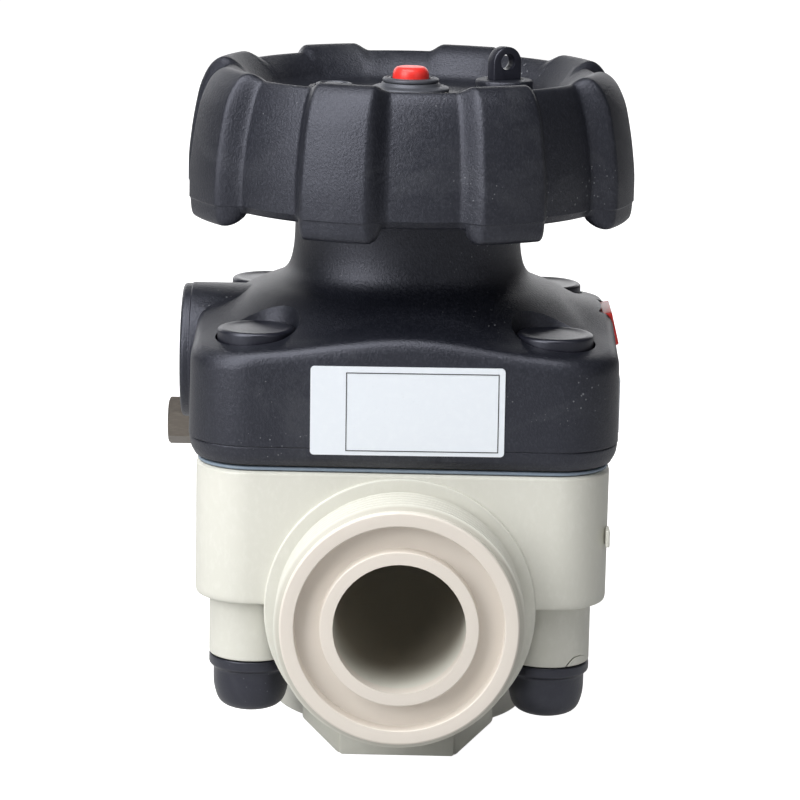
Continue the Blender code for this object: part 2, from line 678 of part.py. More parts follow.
def make_spindle(steel, red):
    tip_top = INDICATOR_TOP - INDICATOR_CROWN - GAP
    profile = [
        (0.0, SPINDLE_BOTTOM),
        (SPINDLE_RADIUS, SPINDLE_BOTTOM),
        (SPINDLE_RADIUS, SPINDLE_SHOULDER),
        (SPINDLE_TIP_RADIUS, SPINDLE_SHOULDER + 0.001),
        (SPINDLE_TIP_RADIUS, tip_top),
        (0.0, tip_top),
    ]
    spindle = turned("spindle", profile, steel, SMALL_ROUND, False)
    across = Matrix.Translation((0, 0, PIN_HEIGHT)) @ along_y()
    cut(spindle, rod("spindle_pin_hole", PIN_RADIUS + GAP, -0.01, 0.01, None, TINY_ROUND, across))
    pin_half = COMPRESSOR_HUB_RADIUS - GAP
    rod("compressor_pin", PIN_RADIUS, -pin_half, pin_half, steel, TINY_ROUND, across)
    inner = SPINDLE_TIP_RADIUS + GAP
    cap = [
        (0.0, tip_top + GAP),
        (inner, tip_top + GAP),
        (inner, INDICATOR_BOTTOM),
        (INDICATOR_RADIUS, INDICATOR_BOTTOM),
        (INDICATOR_RADIUS, INDICATOR_TOP - 0.0015),
        (INDICATOR_RADIUS * 0.93, INDICATOR_TOP - 0.0006),
        (INDICATOR_RADIUS * 0.72, INDICATOR_TOP - 0.0001),
        (0.0, INDICATOR_TOP),
    ]
    turned("indicator_cap", cap, red, SMALL_ROUND, False)


def nut_flange_low():
    return NECK_STEP + GAP + THRUST_THICKNESS + GAP


def neck_ring_low():
    return nut_flange_low() + NUT_FLANGE_HEIGHT + GAP + THRUST_THICKNESS + GAP


def make_spindle_nut(brass, white, black, rubber):
    inner = SPINDLE_RADIUS + GAP
    flange_low = nut_flange_low()
    flange_high = flange_low + NUT_FLANGE_HEIGHT
    profile = [
        (inner, NUT_TUBE_BOTTOM),
        (NUT_TUBE_RADIUS, NUT_TUBE_BOTTOM),
        (NUT_TUBE_RADIUS, flange_low),
        (NUT_FLANGE_RADIUS, flange_low),
        (NUT_FLANGE_RADIUS, flange_high),
        (NUT_TUBE_RADIUS, flange_high),
        (NUT_TUBE_RADIUS, NUT_TUBE_TOP),
        (inner, NUT_TUBE_TOP),
    ]
    turned("spindle_nut", profile, brass, MEDIUM_ROUND)
    washer_inner = NUT_TUBE_RADIUS + SLIDE_GAP
    washer_outer = NECK_BORE_RADIUS - SLIDE_GAP
    lower = NECK_STEP + GAP
    sleeve("thrust_washer_lower", washer_inner, washer_outer, lower, lower + THRUST_THICKNESS, white, MEDIUM_ROUND)
    upper = flange_high + GAP
    sleeve("thrust_washer_upper", washer_inner, washer_outer, upper, upper + THRUST_THICKNESS, white, MEDIUM_ROUND)
    ring_low = neck_ring_low()
    ring_high = ring_low + NECK_RING_HEIGHT
    middle = (ring_low + ring_high) / 2
    seal_half = SEAL_CORD_RADIUS + GAP
    seal_middle = NUT_TUBE_RADIUS + GAP + SEAL_CORD_RADIUS
    groove = seal_middle + SEAL_CORD_RADIUS + GAP
    ring = [
        (washer_inner, ring_low),
        (washer_outer, ring_low),
        (washer_outer, ring_high),
        (washer_inner, ring_high),
        (washer_inner, middle + seal_half),
        (groove, middle + seal_half),
        (groove, middle - seal_half),
        (washer_inner, middle - seal_half),
    ]
    turned("neck_ring", ring, black, MEDIUM_ROUND)
    cord = []
    sides = 6
    for step in range(sides):
        turn = math.tau * step / sides
        cord.append((seal_middle + SEAL_CORD_RADIUS * math.cos(turn), middle + SEAL_CORD_RADIUS * math.sin(turn)))
    turned("neck_seal", cord, rubber, MEDIUM_ROUND)


def lobe_samples():
    """Directions round the wheel and how far each stands on a grip lobe, from 0 in a valley to 1 on top."""
    steps = [(-22.5, 0.0), (-13.6, 0.0), (-12.0, 0.5), (-10.2, 1.0), (0.0, 1.0)]
    steps += [(-angle, share) for angle, share in reversed(steps[1:-1])]
    samples = []
    for lobe in range(LOBE_COUNT):
        for angle, share in steps:
            spread = math.radians(angle) * 8 / LOBE_COUNT
            samples.append((LOBE_TURN + math.tau * lobe / LOBE_COUNT + spread, share))
    return samples


def wheel_ring(samples, radius, height, depth, lift):
    """Ring of the wheel. Depth is how far the valleys sink, lift how far the lobes rise above them."""
    ring = []
    for angle, share in samples:
        reach = radius - depth * (1 - share)
        ring.append((reach * math.cos(angle), reach * math.sin(angle), height + lift * share))
    return ring


def make_handwheel(black):
    samples = lobe_samples()
    low_lift = WHEEL_BOTTOM - SKIRT_BOTTOM
    top_lift = WHEEL_TOP - VALLEY_TOP
    wall = SKIRT_WALL
    outer = WHEEL_RADIUS
    depth = VALLEY_DEPTH
    bore = NUT_TUBE_RADIUS + GAP
    rise = VALLEY_TOP - SKIRT_BOTTOM
    rings = [
        wheel_ring(samples, bore, HUB_BOTTOM, 0, 0),
        wheel_ring(samples, HUB_RADIUS, HUB_BOTTOM, 0, 0),
        wheel_ring(samples, HUB_RADIUS, WEB_BOTTOM, 0, 0),
        wheel_ring(samples, outer - wall - 0.011, WEB_BOTTOM, 0, 0),
        wheel_ring(samples, outer - wall - 0.0035, WEB_BOTTOM - 0.005, depth, 0),
        wheel_ring(samples, outer - wall - 0.0012, SKIRT_BOTTOM + 0.001, depth, low_lift),
        wheel_ring(samples, outer - wall + 0.0008, SKIRT_BOTTOM, depth, low_lift),
        wheel_ring(samples, outer - 0.0016, SKIRT_BOTTOM, depth, low_lift),
        wheel_ring(samples, outer - 0.0005, SKIRT_BOTTOM + 0.0014, depth, low_lift),
        wheel_ring(samples, outer, SKIRT_BOTTOM + 0.28 * rise, depth, 0),
        wheel_ring(samples, outer - 0.0011, SKIRT_BOTTOM + 0.56 * rise, depth, 0),
        wheel_ring(samples, outer - 0.0028, SKIRT_BOTTOM + 0.79 * rise, depth, top_lift * 0.6),
        wheel_ring(samples, outer - 0.0054, SKIRT_BOTTOM + 0.93 * rise, depth * 0.8, top_lift),
        wheel_ring(samples, outer - 0.0088, VALLEY_TOP, depth * 0.5, top_lift),
        wheel_ring(samples, outer - 0.0128, SKIRT_BOTTOM + 0.95 * rise, depth * 0.3, top_lift),
        wheel_ring(samples, outer - 0.0162, (VALLEY_TOP + WEB_TOP) / 2, depth * 0.1, 0),
        wheel_ring(samples, outer - 0.0195, WEB_TOP, 0, 0),
        wheel_ring(samples, HUB_RADIUS + 0.003, WEB_TOP + 0.0003, 0, 0),
        wheel_ring(samples, HUB_WASHER_RADIUS + 0.0012, HUB_TOP, 0, 0),
        wheel_ring(samples, bore, HUB_TOP, 0, 0),
    ]
    wheel = lofted("handwheel", rings, black, True)
    slider_place = Matrix.Rotation(SLIDER_ANGLE, 4, "Z") @ Matrix.Translation((SLIDER_DISTANCE, 0, 0))
    boss_low = WEB_BOTTOM - 0.001
    add(wheel, rod("slider_boss", SLIDER_BOSS_RADIUS, boss_low, WEB_BOSS_TOP, None, SMALL_ROUND, slider_place))
    slot_x = SLIDER_WIDTH / 2 + SLIDE_GAP
    slot_y = SLIDER_THICKNESS / 2 + SLIDE_GAP
    slot_low = (-slot_x, -slot_y, WEB_BOTTOM - 0.003)
    cut(wheel, block("slider_slot", slot_low, (slot_x, slot_y, WEB_BOSS_TOP + 0.002), None, 0.0, slider_place))
    plug_place = Matrix.Translation((PLUG_X, PLUG_Y, 0))
    add(wheel, rod("plug_boss", PLUG_BOSS_RADIUS, boss_low, WEB_BOSS_TOP - 0.0012, None, SMALL_ROUND, plug_place))
    hole_low = WEB_BOTTOM + 0.0015
    cut(wheel, rod("plug_hole", PLUG_RADIUS + GAP, hole_low, WEB_BOSS_TOP + 0.001, None, SMALL_ROUND, plug_place))
    return wheel


def make_wheel_fittings(black, dark):
    bore = INDICATOR_RADIUS + SLIDE_GAP
    washer_low = HUB_TOP + GAP
    washer_high = washer_low + HUB_WASHER_THICKNESS
    sleeve("hub_washer", bore, HUB_WASHER_RADIUS, washer_low, washer_high, dark, MEDIUM_ROUND)
    clip_low = washer_high + GAP
    sleeve("hub_clip", bore, HUB_CLIP_RADIUS, clip_low, clip_low + HUB_CLIP_THICKNESS, dark, MEDIUM_ROUND)
    plug_place = Matrix.Translation((PLUG_X, PLUG_Y, 0))
    low = WEB_BOTTOM + 0.0015 + GAP
    top = WEB_BOSS_TOP - 0.0006
    profile = [
        (0.0, low),
        (PLUG_RADIUS, low),
        (PLUG_RADIUS, top),
        (PLUG_RADIUS * 0.8, top + 0.0003),
        (PLUG_RADIUS * 0.6, top),
        (0.0, top),
    ]
    turned("wheel_plug", profile, dark, SMALL_ROUND, False, plug_place)
    slider_place = Matrix.Rotation(SLIDER_ANGLE, 4, "Z") @ Matrix.Translation((SLIDER_DISTANCE, 0, 0))
    half = SLIDER_WIDTH / 2
    outline = [(-half, NECK_TOP + 2 * GAP), (half, NECK_TOP + 2 * GAP)]
    arc = 12
    for step in range(arc + 1):
        turn = math.pi * step / arc
        outline.append((half * math.cos(turn), SLIDER_TOP - half + half * math.sin(turn)))
    stand = slider_place @ Matrix.Rotation(math.radians(90), 4, "X")
    slider = extruded("lock_slider", outline, -SLIDER_THICKNESS / 2, SLIDER_THICKNESS / 2, black, stand)
    eye = slider_place @ Matrix.Translation((0, 0, SLIDER_TOP - SLIDER_HOLE_DROP)) @ along_y()
    cut(slider, rod("padlock_eye", SLIDER_HOLE_RADIUS, -0.01, 0.01, None, TINY_ROUND, eye))


def make_side_pieces(brass, red):
    left = Matrix.Translation((0, SIDE_PLUG_Y, SIDE_PLUG_Z)) @ Matrix.Rotation(math.radians(-90), 4, "Y")
    seat = BLOCK_HALF + GAP
    flange_high = seat + SIDE_PLUG_FLANGE
    head_high = flange_high + SIDE_PLUG_HEAD
    shape = [
        (0.0, seat - 0.008),
        (SIDE_PLUG_SHANK, seat - 0.008),
        (SIDE_PLUG_SHANK, seat),
        (SIDE_PLUG_HEX + 0.0006, seat),
        (SIDE_PLUG_HEX + 0.0006, flange_high),
        (0.0, flange_high),
    ]
    plug = turned("side_plug", shape, brass, SMALL_ROUND, False, left)
    head = hexagon("side_plug_hex", SIDE_PLUG_HEX, flange_high - 0.0008, head_high, None, left)
    add(plug, head)
    trim = [
        (0.0, flange_high - 0.001),
        (SIDE_PLUG_HEX + 0.002, flange_high - 0.001),
        (SIDE_PLUG_HEX + 0.002, flange_high),
        (SIDE_PLUG_HEX + 0.001, head_high - 0.0014),
        (SIDE_PLUG_HEX * 0.84, head_high + 0.0002),
        (0.0, head_high + 0.0002),
    ]
    round_trim = turned("side_plug_trim", trim, None, SMALL_ROUND, False, left)
    shape_trim = head.modifiers.new("trim", "BOOLEAN")
    shape_trim.operation = "INTERSECT"
    shape_trim.solver = "EXACT"
    shape_trim.object = round_trim
    round_trim.hide_render = True
    round_trim.display_type = "WIRE"
    marker_block("side_marker", MARKER_HALF, MARKER_HEIGHT / 2, -MARKER_DEPTH, MARKER_PROUD, red)


def stand_on_foot():
    """Carries everything up on one empty on the spindle axis, so the foot's lower face is at the origin."""
    carrier = bpy.data.objects.new("valve_carrier", None)
    carrier.location = (0, 0, -FOOT_BOTTOM)
    for obj in bpy.data.objects:
        if obj is not carrier:
            obj.parent = carrier
    bpy.context.scene.collection.objects.link(carrier)


def main():
    clear_scene()
    grey = plastic("grey_plastic", (0.72, 0.72, 0.66), 0.45)
    black = plastic("black_plastic", (0.035, 0.036, 0.042), 0.55)
    black_cap = plastic("black_cap", (0.03, 0.03, 0.038), 0.38)
    dark = plastic("dark_plastic", (0.07, 0.075, 0.085), 0.5)
    red = plastic("red_plastic", (0.78, 0.03, 0.02), 0.3)
    white = plastic("white_fluoropolymer", (0.5, 0.55, 0.6), 0.4)
    rubber = plastic("black_rubber", (0.03, 0.028, 0.025), 0.8)
    steel = plastic("stainless_steel", (0.62, 0.62, 0.62), 0.3, 1.0)
    brass = plastic("brass", (0.6, 0.5, 0.36), 0.35, 1.0)
    make_valve_body(grey)
    make_foot_inserts(brass)
    make_diaphragm(white, rubber, steel)
    make_bonnet(black)
    make_fasteners(steel, black_cap)
    make_compressor(black)
    make_spindle(steel, red)
    make_spindle_nut(brass, white, black, rubber)
    make_handwheel(black)
    make_wheel_fittings(black_cap, dark)
    make_side_pieces(brass, red)
    stand_on_foot()


main()
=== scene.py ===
# %% [markdown]
# # A plastic diaphragm valve with a lobed handwheel
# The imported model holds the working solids. This file dresses them: it models the mouldings with
# their roundings, threads and recesses, gives each surface its finish, and sets the light and the
# camera. The solids that only show inside keep their shape and get a finish.

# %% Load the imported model
import math

import bmesh
import bpy
import numpy as np
from mathutils import Matrix, Vector


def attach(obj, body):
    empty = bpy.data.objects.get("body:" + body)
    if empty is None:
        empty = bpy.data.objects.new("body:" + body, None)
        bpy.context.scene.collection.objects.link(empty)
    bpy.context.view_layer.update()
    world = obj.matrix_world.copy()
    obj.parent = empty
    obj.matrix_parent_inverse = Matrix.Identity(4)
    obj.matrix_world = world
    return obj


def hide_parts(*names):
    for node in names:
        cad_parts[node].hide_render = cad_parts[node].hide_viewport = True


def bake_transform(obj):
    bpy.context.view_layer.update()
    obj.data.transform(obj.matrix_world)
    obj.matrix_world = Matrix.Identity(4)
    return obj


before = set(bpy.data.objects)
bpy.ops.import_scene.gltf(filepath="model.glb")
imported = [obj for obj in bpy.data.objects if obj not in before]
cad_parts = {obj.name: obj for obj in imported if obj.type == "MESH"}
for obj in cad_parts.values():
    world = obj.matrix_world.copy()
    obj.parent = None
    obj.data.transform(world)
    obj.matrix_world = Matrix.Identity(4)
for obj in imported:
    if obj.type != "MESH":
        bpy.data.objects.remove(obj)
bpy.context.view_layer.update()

# %% [markdown]
# The valve stands on its foot, and the pipe runs level through it. Most sizes of such a valve are
# drawn from the pipe axis, so the shapes below are made round that axis and lifted to their place
# when they are finished.

# %% Lift a shape to its place
AXIS_HEIGHT = 0.042


def stood(name, bm, sharp=35):
    """Lifts a shape from the pipe axis to its place, points its faces outwards and makes it an object."""
    bmesh.ops.remove_doubles(bm, verts=bm.verts, dist=1e-6)
    bmesh.ops.translate(bm, vec=(0, 0, AXIS_HEIGHT), verts=bm.verts)
    bmesh.ops.recalc_face_normals(bm, faces=bm.faces)
    mesh = bpy.data.meshes.new(name)
    bm.to_mesh(mesh)
    bm.free()
    obj = bpy.data.objects.new(name, mesh)
    bpy.context.scene.collection.objects.link(obj)
    shade(obj, sharp)
    return obj


def shade(obj, sharp):
    obj.data.shade_smooth()
    obj.data.set_sharp_from_angle(angle=math.radians(sharp))


def carried(obj, body, *nodes):
    """Lets a finished piece ride on a body, in the place of CAD nodes if any are named."""
    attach(obj, body)
    if nodes:
        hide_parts(*nodes)
    print(obj.name, "has", len(obj.data.polygons), "faces and rides on", body)
    return obj


print("pipe axis", AXIS_HEIGHT * 1000, "mm above the floor")

# %% [markdown]
# Moulded parts have no knife-sharp corners. A corner of a profile is rounded before it is spun or
# skinned: the rounding starts a little before the corner and is a smooth bend between its two
# sides. That is cheaper and cleaner than a bevel on the finished mesh, because every ring of faces
# keeps its place.

# %% Round the corners of a profile
def soften(points, closed=False, steps=5):
    """Each point ends with the reach of its rounding. The reach is measured in the first two numbers."""
    rows = []
    places = [np.array(point[:-1], dtype=float) for point in points]
    for i, point in enumerate(points):
        here, reach = places[i], point[-1]
        at_end = not closed and i in (0, len(points) - 1)
        if at_end or reach == 0:
            rows.append(here)
            continue
        before, after = places[i - 1], places[(i + 1) % len(points)]
        start = here + (before - here) * min(reach / np.linalg.norm((before - here)[:2]), 0.49)
        stop = here + (after - here) * min(reach / np.linalg.norm((after - here)[:2]), 0.49)
        for step in range(steps + 1):
            t = step / steps
            rows.append((1 - t) ** 2 * start + 2 * t * (1 - t) * here + t ** 2 * stop)
    return rows


def turned(profile, steps=64, closed=False, place=None):
    """Spins a profile of (radius, height) round the upright axis."""
    bm = bmesh.new()
    verts = [bm.verts.new((row[0], 0.0, row[1])) for row in profile]
    pairs = list(zip(verts, verts[1:])) + ([(verts[-1], verts[0])] if closed else [])
    geom = verts + [bm.edges.new(pair) for pair in pairs]
    bmesh.ops.spin(
        bm, geom=geom, cent=(0, 0, 0), axis=(0, 0, 1), angle=math.tau, steps=steps, use_merge=True
    )
    if place:
        bmesh.ops.transform(bm, matrix=place, verts=bm.verts)
    return bm


def spun(points, steps, place=None, closed=False):
    """Rounds the corners of a profile and spins it."""
    return turned(soften(points, closed), steps, closed, place)


def rod(radius, low, high, steps=48, place=None, rounding=0.0):
    """A turned pin, or the tool for a hole."""
    profile = [(0, low, 0), (radius, low, rounding), (radius, high, rounding), (0, high, 0)]
    return spun(profile, steps, place)


ALONG_Y = Matrix.Rotation(math.radians(-90), 4, "X")
LEFTWARDS = Matrix.Rotation(math.radians(-90), 4, "Y")
FACE_ON = Matrix.Rotation(math.radians(90), 4, "X")
print("a rounded corner has", len(soften([(0, 0, 0), (1, 0, 0.2), (1, 1, 0)])) - 2, "points")

# %% [markdown]
# The handwheel and the bonnet change from one outline to another on their way up, so a spin can't
# make them. A skin can: one circle of edges is extruded from ring to ring, and each new ring is put
# in its place. The number of each corner is kept in a layer of the mesh, so that extruding can't
# mix them up.

# %% Skin a row of rings
def skin(rings, closed=False):
    """Pulls a circle of edges through rings of points, then fills the ends or joins them."""
    bm = bmesh.new()
    number = bm.verts.layers.int.new("number")
    verts = bmesh.ops.create_circle(bm, segments=len(rings[0]), radius=1.0)["verts"]
    for i, vert in enumerate(verts):
        vert[number] = i
        vert.co = rings[0][i]
    first = list(bm.edges)
    edges = first
    for ring in rings[1:]:
        grown = bmesh.ops.extrude_edge_only(bm, edges=edges)["geom"]
        new = {item for item in grown if isinstance(item, bmesh.types.BMVert)}
        for vert in new:
            vert.co = ring[vert[number]]
        grown_edges = [item for item in grown if isinstance(item, bmesh.types.BMEdge)]
        edges = [edge for edge in grown_edges if all(vert in new for vert in edge.verts)]
    if closed:
        bmesh.ops.bridge_loops(bm, edges=first + edges)
    else:
        bmesh.ops.edgeloop_fill(bm, edges=first)
        bmesh.ops.edgeloop_fill(bm, edges=edges)
    return bm


square = ((1, 1), (-1, 1), (-1, -1), (1, -1))
trial = skin([[(x, y, z) for x, y in square] for z in (0, 1, 2)])
print("a skin of three square rings has", len(trial.faces), "faces")
trial.free()

# %% [markdown]
# Holes, pockets and bosses of a moulding come from booleans, as a tool would cut them. The result
# is applied at once and the tool is thrown away, so that the scene holds finished meshes only.

# %% Cut and join with applied booleans
def worked(target, tool_bm, operation="DIFFERENCE"):
    """Cuts a finished piece with a tool, joins the two, or keeps what they share."""
    tool = stood("tool", tool_bm)
    modifier = target.modifiers.new("work", "BOOLEAN")
    modifier.operation = operation
    modifier.solver = "EXACT"
    modifier.object = tool
    depsgraph = bpy.context.evaluated_depsgraph_get()
    result = bpy.data.meshes.new_from_object(target.evaluated_get(depsgraph))
    target.modifiers.clear()
    old = target.data
    target.data = result
    result.name = target.name
    bpy.data.meshes.remove(old)
    bpy.data.meshes.remove(tool.data)


def push(bm, faces, vec):
    """Extrudes faces and moves the new ones along."""
    grown = bmesh.ops.extrude_face_region(bm, geom=faces)["geom"]
    bmesh.ops.translate(bm, vec=vec, verts=[v for v in grown if isinstance(v, bmesh.types.BMVert)])


def rounded(bm, edges, offset, segments):
    """Rounds edges with a few narrow faces each."""
    bmesh.ops.bevel(
        bm, geom=edges, offset=offset, segments=segments, profile=0.5, affect="EDGES", material=-1
    )


def box(low, high, bevel=0.0, place=None, segments=3):
    """A box between two corners with rounded edges."""
    bm = bmesh.new()
    size = Vector(high) - Vector(low)
    middle = (Vector(high) + Vector(low)) / 2
    bmesh.ops.create_cube(bm, size=1.0, matrix=Matrix.Translation(middle) @ Matrix.Diagonal((*size, 1.0)))
    if bevel:
        rounded(bm, list(bm.edges), bevel, segments)
    if place:
        bmesh.ops.transform(bm, matrix=place, verts=bm.verts)
    return bm


trial = box((0, 0, 0), (1, 1, 1), 0.1)
print("a box with rounded edges has", len(trial.faces), "faces")
trial.free()

# %% [markdown]
# ## Handwheel
# The wheel is one moulding of black glass-filled plastic: a hub, a web, and a hanging rim with
# eight grip lobes. The lobes stand 5 mm outside the valleys and reach 3 mm lower. One function says
# for each direction how much of a lobe stands there: flat on the lobe, an easy slope down its
# flank, and nothing in the valley. The lower corner of a lobe is a quarter of an ellipse instead,
# because it is rounder than a slope can be.

# %% Directions round the wheel
NECK_TOP = 0.108
WHEEL_RADIUS = 0.0563
VALLEY_DEPTH = 0.0048
WHEEL_BOTTOM = NECK_TOP - 0.0187
SKIRT_BOTTOM = WHEEL_BOTTOM + 0.0031
VALLEY_TOP = WHEEL_BOTTOM + 0.0352
LOBES = 8
LOBE_TURN = math.radians(-63.4)
FLANK_FOOT, FLANK_HEAD = 13.3, 7.6
LIFT_FOOT, LIFT_HEAD = 12.6, 8.0
CORNER_START, CORNER_WIDTH = 8.5, 2.6


def ease(low, high, value):
    """Goes smoothly from 0 at low to 1 at high."""
    t = min(max((value - low) / (high - low), 0.0), 1.0)
    return t * t * (3 - 2 * t)


def lobe_directions():
    """For each column its angle and the share of a lobe in the plan, at the top and at the lower edge."""
    flank = np.linspace(13.8, 6.6, 19)
    face = (-6.0, -4.0, -2.0, 0.0, 2.0, 4.0, 6.0)
    spread = [-22.5, -20.0, -17.5, -15.2, *(-flank), *face, *flank[::-1], 15.2, 17.5, 20.0]
    columns = []
    for lobe in range(LOBES):
        for angle in spread:
            side = abs(angle)
            turn = LOBE_TURN + math.tau * lobe / LOBES + math.radians(angle)
            plan = ease(FLANK_FOOT, FLANK_HEAD, side)
            upper = ease(LIFT_FOOT, LIFT_HEAD, side)
            past = min(max((side - CORNER_START) / CORNER_WIDTH, 0.0), 1.0)
            columns.append((turn, plan, upper, math.sqrt(1 - past * past)))
    return columns


columns = lobe_directions()
print(len(columns), "columns round the wheel")

# %% [markdown]
# Now the profile of the wheel, from the hub's lower end out along the underside, down to the skirt,
# up the outside, over the top and back to the hub. Each row gives a radius, a height, how deep the
# valleys are there, how far the lobes are lifted or hang down, and the reach of the rounding. A
# fine step near the skirt is the line where the two halves of the mould meet.

# %% Rings of the wheel
WEB_BOTTOM = NECK_TOP + 0.0048
WEB_TOP = WEB_BOTTOM + 0.0044
HUB_RADIUS = 0.0132
HUB_TOP = WEB_TOP + 0.0017
NUT_RADIUS = 0.009
rise = VALLEY_TOP - SKIRT_BOTTOM
drop = WHEEL_BOTTOM - SKIRT_BOTTOM
lift = 0.0016
inner = WHEEL_RADIUS - 0.0036
deep = VALLEY_DEPTH
rim = WHEEL_RADIUS
parting = WHEEL_BOTTOM + 0.0051

wheel_rows = soften([
    (NUT_RADIUS + 0.0003, NECK_TOP - 0.008, 0, 0, 0),
    (HUB_RADIUS, NECK_TOP - 0.008, 0, 0, 0.0008),
    (HUB_RADIUS, WEB_BOTTOM, 0, 0, 0.0016),
    (inner - 0.0110, WEB_BOTTOM, 0, 0, 0.0040),
    (inner - 0.0035, WEB_BOTTOM - 0.005, deep, 0, 0.0030),
    (inner - 0.0012, SKIRT_BOTTOM + 0.0010, deep, drop, 0.0008),
    (inner + 0.0006, SKIRT_BOTTOM, deep, drop, 0.0008),
    (rim - 0.0017, SKIRT_BOTTOM, deep, drop, 0.0009),
    (rim - 0.0006, SKIRT_BOTTOM + 0.0013, deep, drop, 0.0008),
    (rim - 0.0003, parting - 0.0003, deep, 0, 0.0001),
    (rim, parting, deep, 0, 0.0001),
    (rim, SKIRT_BOTTOM + 0.28 * rise, deep, 0, 0.0030),
    (rim - 0.0011, SKIRT_BOTTOM + 0.56 * rise, deep, 0, 0.0035),
    (rim - 0.0028, SKIRT_BOTTOM + 0.79 * rise, deep, lift * 0.6, 0.0025),
    (rim - 0.0054, SKIRT_BOTTOM + 0.93 * rise, deep * 0.8, lift, 0.0022),
    (rim - 0.0088, VALLEY_TOP, deep * 0.5, lift, 0.0022),
    (rim - 0.0128, SKIRT_BOTTOM + 0.95 * rise, deep * 0.3, lift, 0.0025),
    (rim - 0.0162, (VALLEY_TOP + WEB_TOP) / 2, deep * 0.1, 0, 0.0040),
    (rim - 0.0195, WEB_TOP, 0, 0, 0.0030),
    (HUB_RADIUS + 0.003, WEB_TOP + 0.0003, 0, 0, 0.0012),
    (0.0108, HUB_TOP, 0, 0, 0.0006),
    (NUT_RADIUS + 0.0003, HUB_TOP, 0, 0, 0),
])
wheel_rings = []
for radius, height, valley, lifted in wheel_rows:
    ring = []
    for turn, plan, upper, lower in columns:
        reach = radius - valley * (1 - plan)
        share = lower if lifted < 0 else upper
        ring.append((reach * math.cos(turn), reach * math.sin(turn), height + lifted * share))
    wheel_rings.append(ring)
wheel = stood("grip_wheel", skin(wheel_rings, closed=True), 40)
print(len(wheel_rings), "rings of", len(columns))

# %% [markdown]
# Two round bosses stand on the web. One guides the lock slider through a slot, the other holds a
# plug. They could be drawn into the skin, but booleans keep both simple: join a rounded rod, then
# cut the slot or the hole.

# %% Bosses, slot and plug hole of the wheel
BOSS_TOP = WEB_TOP + 0.0036
SLIDER_DISTANCE = 0.027
SLIDER_PLACE = Matrix.Rotation(math.radians(30), 4, "Z") @ Matrix.Translation((SLIDER_DISTANCE, 0, 0))
SLOT_HALF = (0.0044, 0.0021)
GUIDE_BOSS, PLUG_BOSS, PLUG_HOLE = 0.0072, 0.0064, 0.0049
PLUG_PLACE = Matrix.Translation((-0.019, 0.003, 0))
sunk = WEB_BOTTOM - 0.001
worked(wheel, rod(GUIDE_BOSS, sunk, BOSS_TOP, 64, SLIDER_PLACE, 0.0008), "UNION")
slot_low = (-SLOT_HALF[0], -SLOT_HALF[1], WEB_BOTTOM - 0.003)
slot_high = (SLOT_HALF[0], SLOT_HALF[1], BOSS_TOP + 0.002)
worked(wheel, box(slot_low, slot_high, 0, SLIDER_PLACE))
worked(wheel, rod(PLUG_BOSS, sunk, BOSS_TOP - 0.0012, 64, PLUG_PLACE, 0.0006), "UNION")
worked(wheel, rod(PLUG_HOLE, WEB_BOTTOM + 0.0015, BOSS_TOP + 0.001, 48, PLUG_PLACE))
shade(wheel, 40)
carried(wheel, "wheel", "handwheel")

# %% [markdown]
# The plug in the web is a small turned cap with a ring groove. The slider is a flat tab with a
# round head and an eye for a padlock. A rounded box would leave its head square, so its outline is
# half a circle on two legs: the lower half of a circle is pulled straight down. The eye is cut by a
# turned tool that flares at both ends.

# %% Plug and lock slider
plug_low = WEB_BOTTOM + 0.0018
plug_top = BOSS_TOP - 0.0006
plug_profile = [
    (0, plug_low, 0),
    (0.0046, plug_low, 0.0003),
    (0.0046, plug_top, 0.0004),
    (0.0036, plug_top + 0.0002, 0.0002),
    (0.0033, plug_top - 0.0005, 0.0002),
    (0.0026, plug_top - 0.0005, 0.0002),
    (0.0023, plug_top + 0.0001, 0.0002),
    (0, plug_top + 0.0001, 0),
]
plug = carried(stood("web_plug", spun(plug_profile, 48, PLUG_PLACE)), "wheel", "wheel_plug")

SLIDER_TOP = BOSS_TOP + 0.0082
SLIDER_LOW = NECK_TOP + 0.0006
SLIDER_THICKNESS = 0.0034
slider_half = 0.004
head_centre = SLIDER_TOP - slider_half
bm = bmesh.new()
bmesh.ops.create_circle(bm, cap_ends=True, segments=48, radius=slider_half)
for vert in bm.verts:
    if vert.co.y < -1e-6:
        vert.co = (math.copysign(slider_half, vert.co.x), SLIDER_LOW - head_centre, 0)
bmesh.ops.remove_doubles(bm, verts=bm.verts, dist=1e-6)
bmesh.ops.translate(bm, vec=(0, head_centre, -SLIDER_THICKNESS / 2), verts=bm.verts)
push(bm, list(bm.faces), (0, 0, SLIDER_THICKNESS))
bmesh.ops.recalc_face_normals(bm, faces=bm.faces)
rims = [e for e in bm.edges if abs(e.verts[0].co.z - e.verts[1].co.z) < 1e-6]
rounded(bm, rims, 0.0004, 3)
bmesh.ops.transform(bm, matrix=SLIDER_PLACE @ FACE_ON, verts=bm.verts)
slider = stood("lock_tab", bm)
eye_place = SLIDER_PLACE @ Matrix.Translation((0, 0, SLIDER_TOP - 0.0038)) @ ALONG_Y
eye = [
    (0, -0.004, 0),
    (0.0031, -0.004, 0),
    (0.0019, -0.0013, 0.0006),
    (0.0019, 0.0013, 0.0006),
    (0.0031, 0.004, 0),
    (0, 0.004, 0),
]
worked(slider, spun(eye, 40, eye_place))
shade(slider, 35)
carried(slider, "slider", "lock_slider")

# %% [markdown]
# In the middle of the wheel lie a dished washer and a spring clip, and the red cap of the position
# indicator stands through them. All three are round, so a spin of their profile is all they need.
# A shallow groove runs round the top of the clip.

